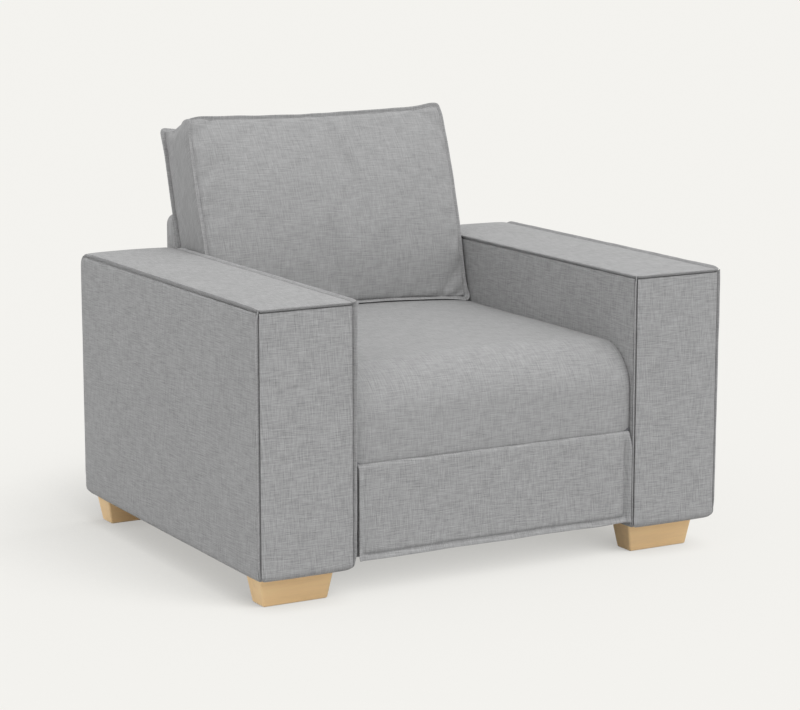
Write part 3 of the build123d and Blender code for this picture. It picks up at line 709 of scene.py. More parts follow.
CLOTH_COLOUR = (0.358, 0.358, 0.359)
upholstery = woven("upholstery_linen", CLOTH_COLOUR)
stretched_linen = woven("stretched_linen", CLOTH_COLOUR, contrast=0.42)
thread = speckled("sewing_thread", shade(CLOTH_COLOUR, 0.92), 1800.0, 0.7)
dust_material = woven("black_lining", (0.018, 0.018, 0.019), 0.6, 0.3, 0.0)
node_materials = {
    "zip_tape": speckled("zip_tape_weave", (0.20, 0.20, 0.198), 1500.0, 0.9, contrast=0.35),
    "foot_wood": timber("light_birch", (0.98, 0.69, 0.37), (7.0, 85.0, 85.0), 0.48, 0.10),
    "frame_board": timber("frame_ply", (0.52, 0.36, 0.20), (60.0, 6.0, 60.0), 0.75),
    "frame_timber": timber("frame_pine", (0.62, 0.43, 0.22), (6.0, 60.0, 60.0), 0.7),
    "foam": speckled("foam_cells", (0.72, 0.66, 0.42), 700.0, 0.95),
    "fibre_filling": speckled("fibre_wadding", (0.82, 0.82, 0.80), 420.0, 1.0),
    "felt": speckled("needle_felt", (0.16, 0.16, 0.17), 900.0, 1.0, contrast=0.45),
    "webbing": speckled("elastic_webbing", (0.06, 0.06, 0.065), 1200.0, 0.85),
    "spring_steel": speckled("spring_wire", (0.30, 0.30, 0.31), 500.0, 0.38, 1.0, 0.0002),
    "zinc_steel": speckled("zinc_plate", (0.58, 0.58, 0.56), 500.0, 0.34, 1.0, 0.0002),
    "zip_metal": speckled("zip_nickel", (0.42, 0.42, 0.41), 900.0, 0.3, 1.0, 0.0002),
    "upholstery": upholstery,
    "dust_cloth": dust_material,
}

for subpart in frame["record"]["subparts"]:
    node = bpy.data.objects[subpart["node"]]
    node.data.materials.clear()
    node.data.materials.append(node_materials[subpart["material_slot"]])

seat_low, seat_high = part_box("seat_cover")
back_low, back_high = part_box("back_cover")
cushion_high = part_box("cushion_cover")[1]
arm_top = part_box("left_arm_cover")[1].z


# Arms: padded boxes whose top and rear are one strip between two sides and a front
class Arm:
    """The nominal planes of one arm, and the edges at which its panels are sewn together."""

    TOP_COUNT = 62
    REAR_COUNT = 30
    ACROSS_COUNT = 28
    CORNER = (15.0, 30.0, 45.0)
    LOWER_STEPS = 5

    def __init__(self, side, sign):
        low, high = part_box(f"{side}_arm_cover")
        self.side, self.sign = side, sign
        self.inner = min(abs(low.x), abs(high.x)) + CAD_FLANGE - SEAM_SHIFT
        self.outer = max(abs(low.x), abs(high.x)) - CAD_FLANGE + SEAM_SHIFT
        self.front, self.rear = low.y + CAD_FLANGE - SEAM_SHIFT, high.y
        self.bottom, self.top = low.z, high.z + SEAM_SHIFT - ARM_TOP_SETTLE
        self.round_y = self.rear - ARM_REAR_RADIUS
        self.round_z = self.top - ARM_REAR_RADIUS
        self.straight = self.bottom + ARM_LOWER_RADIUS

    def corner(self, degrees):
        """A place round the rear upper corner: Y, Z, normal and how far drawn in."""
        angle = math.radians(degrees)
        radius = ARM_REAR_RADIUS - SEAM_DIP
        y = self.round_y + radius * math.sin(angle)
        z = self.round_z + radius * math.cos(angle)
        return y, z, math.sin(angle), math.cos(angle), 0.0

    def top_edge(self):
        """From the front seam to halfway round the rear corner, as places like those of corner."""
        places = spread(self.front + SEAM_DIP, self.round_y, self.TOP_COUNT, FINE)
        edge = [(y, self.top - SEAM_DIP, 0.0, 1.0, 0.0) for y in places]
        return edge + [self.corner(a) for a in self.CORNER]

    def rear_edge(self):
        """From the hem under the rear up to halfway round the rear corner."""
        rear = self.rear - SEAM_DIP
        edge = [(rear - ARM_LOWER_RADIUS - ARM_HEM, self.bottom, 0.0, -1.0, ARM_LOWER_RADIUS + ARM_HEM)]
        for z, drawn, angle in self.lower_rounding():
            edge.append((rear - drawn, z, math.sin(angle), -math.cos(angle), drawn))
        places = spread(self.straight, self.round_z, self.REAR_COUNT)
        edge += [(rear, z, 1.0, 0.0, 0.0) for z in places[1:]]
        return edge + [self.corner(90.0 - a) for a in self.CORNER]

    def lower_rounding(self):
        """Places round the lower edge: Z, how far drawn in, and the angle."""
        rounding = []
        for angle in quarter(self.LOWER_STEPS):
            drawn = ARM_LOWER_RADIUS * (1 - math.sin(angle))
            rounding.append((self.bottom + ARM_LOWER_RADIUS * (1 - math.cos(angle)), drawn, angle))
        return rounding

    def front_edge(self):
        """From the hem up to the top seam, along the front: Z and how far drawn in."""
        edge = [(self.bottom, ARM_LOWER_RADIUS + ARM_HEM)]
        edge += [place[:2] for place in self.lower_rounding()]
        count = self.REAR_COUNT + len(self.CORNER)
        places = spread(self.straight, self.top - SEAM_DIP, count, FINE)
        return edge + [(z, 0.0) for z in places[1:]]

    def push(self, spot, seed, crown, *distances):
        """How far a panel stands out at a spot, with its soft unevenness."""
        push = stand_out(crown, *distances)
        broad, fine = ARM_RIPPLE_SIZES
        uneven = ARM_RIPPLE * (ripple(spot, broad, seed) + 0.5 * ripple(spot, fine, seed + 9))
        return push + (push + SEAM_DIP) / (SEAM_DIP + crown) * uneven


def add_arm_sides(cloth, arm):
    """The outer and the inner side, whose edges follow the rounded rear corner."""
    top_edge, rear_edge, front_edge = arm.top_edge(), arm.rear_edge(), arm.front_edge()
    first, last = top_edge[0][0], top_edge[-1][0]
    shares = [(edge[0] - first) / (last - first) for edge in top_edge]
    low_z, high_z = arm.straight, front_edge[-1][0]
    rear_y = arm.rear - SEAM_DIP
    panels = (("outer", arm.outer, 1, ARM_CROWN), ("inner", arm.inner, -1, ARM_INNER_CROWN))
    for name, face, way, crown in panels:
        rows = []
        for (z, drawn), rear in zip(front_edge, rear_edge):
            v = (z - low_z) / (high_z - low_z)
            start = arm.front + SEAM_DIP + drawn
            row = []
            for u, top in zip(shares, top_edge):
                y = start + (rear[0] - start) * u
                height = z + (rear[1] - z) * u
                if v > 0:
                    low_y = first + (rear_y - first) * u
                    chord = (1 - v) * rear_y + v * last - first
                    y += (1 - v) * low_y + v * top[0] - first - u * chord
                    height += v * (top[1] - high_z - u * (top_edge[-1][1] - high_z))
                to_top = arm.top - SEAM_DIP - height
                to_rear = rear_y - drawn - y
                at_corner = y > arm.round_y and height > arm.round_z
                if at_corner:
                    reach = math.hypot(y - arm.round_y, height - arm.round_z)
                    to_top = to_rear = ARM_REAR_RADIUS - SEAM_DIP - reach
                spot = Vector((arm.sign * face, y, height))
                push = arm.push(spot, 2 + way, crown, y - start, to_top, to_rear)
                flat = (y + FLAT_AT[name], height - drawn)
                if at_corner:
                    lean = overhang(to_top) / reach
                    y, height = y + lean * (y - arm.round_y), height + lean * (height - arm.round_z)
                else:
                    height += overhang(to_top)
                    y += overhang(to_rear) - overhang(y - start)
                row.append((Vector((arm.sign * (face + way * (push - drawn)), y, height)), flat))
            rows.append(row)
        cloth.grid(rows)


def add_arm_front(cloth, arm):
    """The front panel, which lies more closely to some of its flanges."""
    hug = FRONT_HUG[arm.side]
    rows = []
    for z, drawn in arm.front_edge():
        low, high = arm.inner + SEAM_DIP + drawn, arm.outer - SEAM_DIP - drawn
        to_top = arm.top - SEAM_DIP - z
        row = []
        for x in spread(low, high, arm.ACROSS_COUNT, FINE):
            spot = Vector((arm.sign * x, arm.front, z))
            push = arm.push(spot, 6, ARM_CROWN, x - low, high - x, to_top)
            across = x - hug["inner"] * overhang(x - low) + hug["outer"] * overhang(high - x)
            height = z + hug["top"] * overhang(to_top)
            point = Vector((arm.sign * across, arm.front - push + drawn, height))
            row.append((point, (arm.sign * x + FLAT_AT["front"], z - drawn)))
        rows.append(row)
    cloth.grid(rows)


def add_arm_strip(cloth, arm):
    """The top and the rear of an arm, in one strip."""
    edge = arm.top_edge() + arm.rear_edge()[-2::-1]
    rows = []
    for along, (y, z, normal_y, normal_z, drawn) in zip(outline_lengths(edge), edge):
        low, high = arm.inner + SEAM_DIP + drawn, arm.outer - SEAM_DIP - drawn
        on_top = normal_z > 0.0
        crown = ARM_TOP_CROWN if on_top else ARM_REAR_CROWN
        to_front = y - arm.front - SEAM_DIP if on_top else FAR
        normal = Vector((0.0, normal_y, normal_z))
        row = []
        for x in spread(low, high, arm.ACROSS_COUNT, FINE):
            spot = Vector((arm.sign * x, y, z))
            push = arm.push(spot, 11, crown, x - low, high - x, to_front)
            lean = Vector((arm.sign * (overhang(high - x) - overhang(x - low)), -overhang(to_front), 0.0))
            point = spot + normal * (push + SEAM_DIP) + lean
            row.append((point, (arm.sign * x + FLAT_AT["strip"], along)))
        rows.append(row)
    cloth.grid(rows)


def arm_top_seam(arm, inner_end):
    """Points of the rear and the top seam, and the tips of its flange, with those of its corners."""
    sign, z = arm.sign, arm.top - SEAM_DIP
    outer, inner, front = arm.outer - SEAM_DIP, arm.inner + SEAM_DIP, arm.front + SEAM_DIP
    reaches = TOP_FLANGES[arm.side]
    (outer_out, outer_up), (front_out, front_up), (inner_out, inner_up) = (
        reaches[key] for key in ("outer", "front", "inner")
    )
    rear_out, rear_up = REAR_FLANGE
    outer_tip = Vector((sign * outer_out, 0.0, outer_up))
    front_tip = Vector((0.0, -front_out, front_up))
    inner_tip = Vector((-sign * inner_out, 0.0, inner_up))
    outer_corner = Vector((sign * outer_out, -front_out, (outer_up + front_up) / 2)) * FLANGE_CORNER
    inner_corner = Vector((-sign * inner_out, -front_out, (inner_up + front_up) / 2))
    heights = spread(arm.bottom + REAR_FLANGE_LIFT, arm.round_z, 36)
    path = [Vector((sign * outer, arm.rear - SEAM_DIP, height)) for height in heights]
    tips = [Vector((sign * rear_out, rear_up, 0.0))] * len(path)
    for step in range(1, REAR_CORNER_STEPS):
        y, height, normal_y, normal_z, _ = arm.corner(90.0 * (1 - step / REAR_CORNER_STEPS))
        path.append(Vector((sign * outer, y, height)))
        tips.append(Vector((sign * rear_out, normal_y * rear_up, normal_z * rear_up)))
    rear_top_tip = Vector((sign * rear_out, 0.0, rear_up))
    for y in spread(arm.round_y, front, 66)[:-1]:
        point = Vector((sign * outer, y, z))
        share = smooth_step(arm.round_y - point.y, 0.0, REAR_FLANGE_BLEND[arm.side])
        path.append(point)
        tips.append(rear_top_tip.lerp(outer_tip, share))
    front_leg = [Vector((sign * x, front, z)) for x in spread(outer, inner, 22)]
    inner_leg = [Vector((sign * inner, y, z)) for y in spread(front, inner_end, 60)[1:]]
    path += front_leg + inner_leg
    tips += [outer_corner] + [front_tip] * (len(front_leg) - 2)
    tips += [inner_corner] + [inner_tip] * len(inner_leg)
    least, taper = TOP_FLANGE_END
    ends = (path[0], path[-1])
    to_ends = [min((point - end).length for end in ends) for point in path]
    tips = [
        tip * (least + (1 - least) * smooth_step(distance, 0.0, taper))
        for tip, distance in zip(tips, to_ends)
    ]
    corners = {"outer": outer_corner, "inner": inner_corner}
    return path, wavy(path, tips, TOP_FLANGE_WAVE, 15 + sign), corners


def arm_front_seam(arm, edge, corner_tip):
    """Points of one upright front seam and the tips of its flange, which meets the top one."""
    way = 1 if edge == "outer" else -1
    x = arm.outer - SEAM_DIP if edge == "outer" else arm.inner + SEAM_DIP
    low, high = arm.bottom + FRONT_FLANGE_LIFT, arm.top - SEAM_DIP + FLANGE_THICKNESS / 2
    out, forward = FRONT_FLANGES[arm.side][edge]
    full = Vector((arm.sign * way * out, -forward, 0.0))
    heights = spread(low, high, 52, FRONT_FLANGE_FINE)
    path = [Vector((arm.sign * x, arm.front + SEAM_DIP, z)) for z in heights]
    least, taper = FRONT_FLANGE_END
    tips = []
    for z in heights:
        share = FRONT_FLANGE_LOW + (1 - FRONT_FLANGE_LOW) * (z - low) / (high - low)
        share *= least + (1 - least) * smooth_step(z, low, low + taper)
        tips.append((full * share).lerp(corner_tip, smooth_step(z, high - CORNER_BLEND, high)))
    return path, wavy(path, tips, FRONT_FLANGE_WAVE, 21 + way)


def make_arm(side, sign):
    arm = Arm(side, sign)
    cloth, sewing = Cloth(), Cloth()
    add_arm_sides(cloth, arm)
    add_arm_front(cloth, arm)
    add_arm_strip(cloth, arm)
    path, tips, corners = arm_top_seam(arm, back_face(arm_top) - ARM_BACK_GAP)
    cloth.flange(path, tips, sewing)
    for edge, corner_tip in corners.items():
        path, tips = arm_front_seam(arm, edge, corner_tip)
        cloth.flange(path, tips, sewing)
    cover = cloth.piece(f"{side}_arm_upholstery", upholstery)
    seams = sewing.piece(f"{side}_arm_stitching", thread, subdivide=False)
    for piece in (cover, seams):
        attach(piece, "chair_frame")
    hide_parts(f"{side}_arm_cover", f"{side}_arm_padding")


# Seat: a crowned block with a rounded front that ends at the skirt's seam
def seat_loop(x):
    """The side outline of the seat at a place across it, as points with their outward normals."""
    share = abs(x) / seat_high.x
    top = SEAT_SIDE_HEIGHT + SEAT_CROWN * (1 - share**2) - SEAT_EDGE_DROP * share**SEAT_EDGE_POWER
    drawn = SEAT_SIDE_DRAW * share**SEAT_SIDE_POWER
    front, rear = seat_low.y + drawn, seat_high.y - drawn
    under, lip = SEAM_HEIGHT + SEAT_UNDER, SEAM_HEIGHT - SEAT_LIP
    outline = [(front, z, -1.0, 0.0) for z in spread(lip, top - SEAT_FRONT_RADIUS, 24, FINE)]
    for angle in quarter(15)[1:-1]:
        y = front + SEAT_FRONT_RADIUS * (1 - math.cos(angle))
        z = top - SEAT_FRONT_RADIUS * (1 - math.sin(angle))
        outline.append((y, z, -math.cos(angle), math.sin(angle)))
    places = spread(front + SEAT_FRONT_RADIUS, rear - SEAT_REAR_RADIUS, 42)
    outline += [(y, top, 0.0, 1.0) for y in places]
    outline.append((rear - SEAT_REAR_CUT, top - SEAT_REAR_CUT, 0.7, 0.7))
    outline += [(rear, z, 1.0, 0.0) for z in spread(top - SEAT_REAR_RADIUS, under, 7)]
    places = spread(rear - SEAT_UNDER_INSET, front + SEAT_UNDER_INSET, 12)
    outline += [(y, under, 0.0, -1.0) for y in (*places, front + SEAT_LIP_DEPTH)]
    outline.append((front + SEAT_LIP_DEPTH, lip, 0.0, -1.0))
    return outline


def make_seat():
    cloth = Cloth()
    rows = []
    for x in spread(-seat_high.x, seat_high.x, 54, SEAT_FINE):
        outline = seat_loop(x)
        row = []
        for along, (y, z, normal_y, normal_z) in zip(outline_lengths(outline), outline):
            spot = Vector((x, y, z))
            shown = normal_y < -0.01 or normal_z > 0.5
            push = 0.0
            if shown:
                to_seam = z - SEAM_HEIGHT + SEAT_LIP
                fill = filled(to_seam, SEAT_FILL)
                push = SEAT_BULGE * fill * max(-normal_y, 0.0)
                push -= SEAT_SEAM_DIP * math.exp(-to_seam / SEAT_SEAM_ROLL)
                push += fill * ripples(spot, *SEAT_RIPPLES)
            row.append((spot + Vector((0.0, normal_y, normal_z)) * push, (x, along)))
        rows.append(closed(row))
    cloth.tube(rows)
    seat = cloth.piece("seat_upholstery", stretched_linen)
    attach(seat, "chair_frame")
    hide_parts("seat_cover", "seat_foam")


def make_rail_lining():
    """Cloth over the front rail, behind the skirt."""
    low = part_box("seat_front_rail")[0]
    cloth = Cloth()
    face = low.y - RAIL_GAP
    wide, top = seat_high.x - RAIL_INSET, SEAM_HEIGHT + RAIL_TOP
    rows = []
    for z in spread(low.z - RAIL_DROP, top, 12):
        row = []
        for x in spread(-wide, wide, 40):
            point = Vector((x, face - ripples((x, 0.0, z), RAIL_RIPPLE), z))
            row.append((point, RAIL_HALF, (point.x + FLAT_AT["rail"], point.z)))
        rows.append(row)
    cloth.slab(rows, Vector((0.0, -1.0, 0.0)))
    lining = cloth.piece("front_rail_lining", upholstery)
    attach(lining, "chair_frame")


# Skirt: a thin quilted panel with a stitched border, which hangs from the seat's front seam
def make_skirt():
    low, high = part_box("front_skirt")
    middle_y = (low.y + high.y) / 2
    seam_z = SEAM_HEIGHT + SKIRT_SEAM_RISE
    edge_left, edge_right = low.x, high.x + SKIRT_RIGHT_REACH
    crease, crease_width = SKIRT_CREASE
    cloth, sewing = Cloth(), Cloth()
    rows = []
    for z in spread(low.z, seam_z, 34, SKIRT_FINE):
        to_hem = z - low.z
        loose = smooth_step(seam_z - z, 0.0, SKIRT_LOOSE)
        rolled = SKIRT_ROLL * math.exp(-(seam_z - z) / SKIRT_ROLL_SIZE)
        row = []
        for x in spread(edge_left, edge_right, 68, SKIRT_FINE):
            to_side = min(x - edge_left, edge_right - x)
            inside = min(to_side, to_hem) - SKIRT_BORDER
            beside = bell(x - edge_left, SKIRT_LEFT_SIZE) * smooth_step(to_hem, *SKIRT_LEFT_HEIGHTS)
            mark = 1.0 - (1.0 - SKIRT_LEFT_MARK) * beside
            pucker = ripple((x, 0.0, z * SKIRT_PUCKER_STRETCH), *SKIRT_PUCKER)
            pucker *= math.exp(-abs(inside) / SKIRT_PUCKER_REACH)
            hang = ripples((x, 0.0, z * SKIRT_HANG_STRETCH), SKIRT_HANG) + SKIRT_PUCKER_HANG * pucker
            hang -= SKIRT_HEM_TURN * smooth_step(SKIRT_BORDER - to_hem, 0.0, SKIRT_BORDER)
            side_turn = SKIRT_SIDE_TURNS["left" if x < 0 else "right"]
            hang -= side_turn * smooth_step(SKIRT_BORDER - to_side, 0.0, SKIRT_BORDER)
            hang += crease * mark * bell(inside, crease_width)
            full = 1.0 - mark * (1.0 - smooth_step(inside, 0.0, SKIRT_FILL))
            thick = SKIRT_BORDER_THICKNESS + (SKIRT_THICKNESS - SKIRT_BORDER_THICKNESS) * full
            thick += SKIRT_PUCKER_THICK * pucker * full
            wave = ripples((x, 0.0, 0.0), SKIRT_WAVE)
            wave *= 1 - smooth_step(z, low.z, low.z + SKIRT_WAVE_HEIGHT)
            point = Vector((x, middle_y + hang * loose + rolled, z + wave))
            row.append((point, thick / 2, (x, z)))
        rows.append(row)
    cloth.slab(rows, Vector((0.0, -1.0, 0.0)), flip=True)
    left, right = edge_left + SKIRT_BORDER, edge_right - SKIRT_BORDER
    start, hem = seam_z - SKIRT_STITCH_DROP, low.z + SKIRT_BORDER
    for way in (-1, 1):
        surface = middle_y + crease + way * (SKIRT_BORDER_THICKNESS / 2 - SKIRT_STITCH_SINK)
        seam = three_sides(left, right, start, hem, surface, 14, 46)
        sewing.stitches(seam, [Vector((0.0, way, 0.0))] * len(seam))
    skirt = cloth.piece("front_skirt_cloth", upholstery)
    seams = sewing.piece("front_skirt_stitching", thread, subdivide=False)
    for piece in (skirt, seams):
        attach(piece, "skirt")
    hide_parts("front_skirt")


# Back: a padded wedge behind the cushion, rounded along all its edges
def back_face(z):
    """Y of the leaning front of the back at a height."""
    return back_low.y + max(z - SEAT_SIDE_HEIGHT, 0.0) * math.tan(LEAN)


def rounded(distance, radius):
    """How far a round edge lies below its plane at a distance from the edge."""
    inside = min(distance / radius, 1.0)
    return radius * (1.0 - math.sqrt(max(1.0 - (1.0 - inside) ** 2, 0.0)))


def back_loop(x):
    """The side outline of the back at a place across it, as points with their outward normals."""
    to_side = back_high.x - abs(x)
    drawn = rounded(to_side, BACK_SIDE_RADIUS)
    bottom, top = back_low.z + BACK_LIFT, back_high.z - rounded(to_side, BACK_TOP_RADIUS)
    front, rear = back_low.y + drawn, back_high.y - drawn + BACK_REAR_OUT
    lean_out = drawn / math.cos(LEAN)
    outline = [(front, z, -1.0, 0.0) for z in spread(bottom, SEAT_SIDE_HEIGHT, 10)]
    for z in spread(SEAT_SIDE_HEIGHT, top - BACK_TOP_BAND, 14)[1:]:
        outline.append((back_face(z) + lean_out, z, -math.cos(LEAN), math.sin(LEAN)))
    # Two points round the narrow edge between the leaning front and the top
    top_front = back_face(top) + lean_out
    outline.append((top_front + 0.001, top - 0.0018, -0.5, 0.87))
    outline.append((top_front + 0.003, top, 0.0, 1.0))
    radius = max(min(BACK_REAR_RADIUS, rear - top_front - BACK_TOP_FLAT), BACK_REAR_LEAST)
    for angle in quarter(5):
        y = rear - radius * (1 - math.sin(angle))
        z = top - radius * (1 - math.cos(angle))
        outline.append((y, z, math.sin(angle), math.cos(angle)))
    outline += [(rear, z, 1.0, 0.0) for z in spread(top - radius, bottom, 44, FINE)[1:]]
    places = spread(rear - BACK_UNDER_INSET, front + BACK_UNDER_INSET, 4)
    return outline + [(y, bottom, 0.0, -1.0) for y in places]


def make_back():
    cloth, sewing = Cloth(), Cloth()
    half = back_high.x
    dip, dip_width = BACK_STITCH_DIP
    rows = []
    for x in spread(-half, half, 64, BACK_FINE):
        outline = back_loop(x)
        row = []
        for along, (y, z, normal_y, normal_z) in zip(outline_lengths(outline), outline):
            spot = Vector((x, y, z))
            push = ripples(spot, BACK_RIPPLE)
            if normal_y > 0.9:
                to_seam = min(half - abs(x), back_high.z - z) - BACK_STITCH_INSET
                push += BACK_CROWN * filled(to_seam, CROWN_REACH)
                push -= dip * bell(to_seam, dip_width)
            if normal_y < 0:
                push = min(push, 0.0)
            point = spot + Vector((0.0, normal_y, normal_z)) * push
            row.append((point, (x + FLAT_AT["back"], along)))
        rows.append(closed(row))
    cloth.tube(rows)
    edge, high = half - BACK_STITCH_INSET, back_high.z - BACK_STITCH_INSET
    start, surface = back_low.z + BACK_STITCH_LIFT, back_high.y - BACK_STITCH_SINK
    seam = three_sides(-edge, edge, start, high, surface, 24, 28)
    sewing.stitches(seam, [Vector((0.0, 1.0, 0.0))] * len(seam))
    back = cloth.piece("back_upholstery", upholstery)
    seams = sewing.piece("back_stitching", thread, subdivide=False)
    for piece in (back, seams):
        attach(piece, "chair_frame")
    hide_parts("back_cover", "back_padding")


# Back cushion: a boxed cover with two flanged seams, swollen by a cloth simulation
cushion_front_y = cushion_high.y - math.sin(LEAN) * (CUSHION_HEIGHT + CUSHION_CAD_FLANGE)
cushion_front_y -= math.cos(LEAN) * CUSHION_THICKNESS
cushion_front_z = SEAT_SIDE_HEIGHT + CUSHION_SEAT_GAP
CUSHION_UP = Vector((0.0, math.sin(LEAN), math.cos(LEAN)))
CUSHION_BACK = Vector((0.0, math.cos(LEAN), -math.sin(LEAN)))
# Places of the cover's points along its width and height, closer together beside the seams
ACROSS = spread(0.0, 1.0, 57, (0.0035, 0.0085, 0.019, 0.036))
UPWARD = spread(0.0, 1.0, 43, (0.0050, 0.012, 0.027, 0.051))
DEPTH_STEPS = 12


def cushion_point(x, up, depth):
    """A point of the cushion from its place across, up its lean and behind its front seam."""
    return Vector((x, cushion_front_y, cushion_front_z)) + CUSHION_UP * up + CUSHION_BACK * depth


def cushion_place(point):
    """How far up the cushion's lean and behind its front seam a point is."""
    offset = point - Vector((0.0, cushion_front_y, cushion_front_z))
    return offset.dot(CUSHION_UP), offset.dot(CUSHION_BACK)


def seam_key(point):
    """A point's rounded place, by which the points of the seams are known again."""
    return tuple(round(k, 4) for k in point)


def cushion_edges(depth):
    """The bottom, side and top of the cushion's outline at a depth, by shares from 0 to 1."""
    way = depth / CUSHION_THICKNESS
    fading = max(1 - 2 * way, 0.0)
    mid = CUSHION_THICKNESS / 2
    mid_low = (CUSHION_MID_LIFT + math.sin(LEAN) * mid) / math.cos(LEAN)
    rear_low = (CUSHION_REAR_LIFT + math.sin(LEAN) * CUSHION_THICKNESS) / math.cos(LEAN)
    if way < 0.5:
        low = mid_low * way * 2
    else:
        low = mid_low + (rear_low - mid_low) * (way - 0.5) * 2
    drawn = CUSHION_DRAWN_IN * math.sin(math.pi * way)
    rise = SEAT_CROWN * fading
    low_half = CUSHION_BOTTOM_HALF - drawn
    high_half = CUSHION_TOP_HALF - drawn
    puff = CUSHION_PUFF if way < 0.5 else CUSHION_DRAWN_IN
    high = CUSHION_HEIGHT + CUSHION_RISE + puff * math.sin(math.tau * way)
    low += drawn + CUSHION_FRONT_GAP * fading

    def bottom(share):
        return (2 * share - 1) * low_half, low + rise * 4 * share * (1 - share)

    def side(share):
        bulge = CUSHION_SIDE_BULGE * fading * CUSHION_SIDE_SCALE * share**2 * (1 - share)
        return low_half + (high_half - low_half) * share + bulge, low + (high - low) * share

    def top(share):
        return (2 * share - 1) * high_half, high - CUSHION_TOP_SAG * 4 * share * (1 - share)

    return bottom, side, top


def cushion_shaped(x, up, depth, share):
    """A point of the cover, with the ears at its upper corners and the bow of its front."""
    way = depth / CUSHION_THICKNESS
    for sign, (front_lift, rear_lift), _ in CUSHION_EARS:
        away = math.hypot(x - sign * CUSHION_TOP_HALF, up - CUSHION_HEIGHT)
        lift = (front_lift * (1 - way) + rear_lift * way) * bell(away, CUSHION_EAR_SIZE)
        turn = CUSHION_ROUND * (1 - way) * bell(away, CUSHION_ROUND_SIZE)
        x += sign * (lift * CUSHION_EAR_SPREAD - turn)
        up += lift - turn
    bow = CUSHION_BOW * 4 * share * (1 - share) * (1 - way)
    return cushion_point(x, up, depth - bow)


def cushion_panel(depth, crown):
    """A grid over the outline at a depth, pushed out along the panel's normal."""
    bottom, side, top = cushion_edges(depth)
    rows = []
    for v in UPWARD:
        row = []
        for u in ACROSS:
            low_x, low_up = bottom(u)
            high_x, high_up = top(u)
            flat_x = (2 * u - 1) * ((1 - v) * bottom(1)[0] + v * top(1)[0])
            x = low_x * (1 - v) + high_x * v + (2 * u - 1) * side(v)[0] - flat_x
            up = low_up * (1 - v) + high_up * v
            dome = (1 - (2 * u - 1) ** 4) * math.sin(math.pi * v**CUSHION_SETTLE)
            point = cushion_shaped(x, up, depth, v) - CUSHION_BACK * crown * dome
            row.append((point, (x + depth * CUSHION_FLAT_SHIFT, up)))
        rows.append(row)
    return rows


def cushion_ring(depth):
    """The outline of the cushion at a depth: along the bottom, up the right, back and down the left."""
    bottom, side, top = cushion_edges(depth)
    ring = [(*bottom(share), 0.0) for share in ACROSS[:-1]]
    ring += [(*side(share), share) for share in UPWARD[:-1]]
    ring += [(*top(share), 1.0) for share in ACROSS[:0:-1]]
    for share in UPWARD[:0:-1]:
        x, up = side(share)
        ring.append((-x, up, share))
    return [cushion_shaped(x, up, depth, share) for x, up, share in ring]


def swell(cover, seams):
    """Swell the cover as its stuffing does; its seams and what lies on seat and back stay in place."""
    held_height, held_rise = HELD_SLOPE

    def held(point):
        up, depth = cushion_place(point)
        within = abs(point.x) < CUSHION_BOTTOM_HALF - HELD_INSET and HELD_DEPTH < depth
        below = within and up < HELD_HEIGHT and up < held_height + depth * held_rise
        on_back = depth > CUSHION_THICKNESS - ON_PANEL and point.z < back_high.z
        return seam_key(point) in seams or below or on_back

    def most(point):
        depth = cushion_place(point)[1]
        if depth < ON_PANEL:
            return SWELL_FRONT
        return SWELL_REAR if depth > CUSHION_THICKNESS - ON_PANEL else SWELL_BOXING

    group = cover.vertex_groups.new(name="held")
    before = [vertex.co.copy() for vertex in cover.data.vertices]
    group.add([i for i, co in enumerate(before) if held(co)], 1.0, "REPLACE")
    cloth = cover.modifiers.new("swell", "CLOTH")
    for key, value in SWELL_SETTINGS.items():
        setattr(cloth.settings, key, value)
    cloth.settings.effector_weights.gravity = 0.0
    cloth.collision_settings.use_collision = False
    cloth.point_cache.frame_start = 1
    cloth.point_cache.frame_end = SWELL_FRAMES
    for step in range(1, SWELL_FRAMES + 1):
        scene.frame_set(step)
    evaluated = cover.evaluated_get(bpy.context.evaluated_depsgraph_get())
    after = [vertex.co.copy() for vertex in evaluated.data.vertices]
    cover.modifiers.remove(cloth)
    cover.vertex_groups.remove(group)
    for vertex, old, new in zip(cover.data.vertices, before, after):
        move = new - old
        limit = most(old)
        if move.length > limit:
            move = move * (limit / move.length)
        vertex.co = old + move
    scene.frame_set(1)


def gather_front(cover, seams):
    """Stand the front panel off its seams, with gathers beside the lower and the side ones."""
    bottom, side, top = cushion_edges(0.0)
    low_up, high_up = side(0.0)[1], side(1.0)[1]
    side_strength, side_reach = PUCKER_SIDE
    slant_x, slant_z = PUCKER_SLANT
    for vertex in cover.data.vertices:
        up, depth = cushion_place(vertex.co)
        if depth >= ON_PANEL or seam_key(vertex.co) in seams:
            continue
        across = min(max(vertex.co.x / (2 * CUSHION_BOTTOM_HALF) + 0.5, 0.0), 1.0)
        upward = min(max((up - low_up) / (high_up - low_up), 0.0), 1.0)
        to_side = side(upward)[0] - abs(vertex.co.x)
        to_seam = min(to_side, up - bottom(across)[1], top(across)[1] - up)
        if to_seam > 0.0:
            vertex.co -= CUSHION_BACK * CUSHION_ROLL * filled(to_seam, CUSHION_ROLL_SIZE)
        if to_side > 0.0 and up > CUSHION_FRONT_GAP:
            gather = math.exp(-up / PUCKER_LOW) + side_strength * math.exp(-to_side / side_reach)
            free = smooth_step(min(to_side, up - CUSHION_FRONT_GAP), *PUCKER_FREE)
            free *= smooth_step(CUSHION_HEIGHT - up, *PUCKER_TOP_FREE)
            place = (vertex.co.x + up * slant_x, 0.0, up * slant_z)
            fold = ripple(place, PUCKER_SIZE, PUCKER_SEED)
            vertex.co -= CUSHION_BACK * CUSHION_PUCKER * gather * free * fold


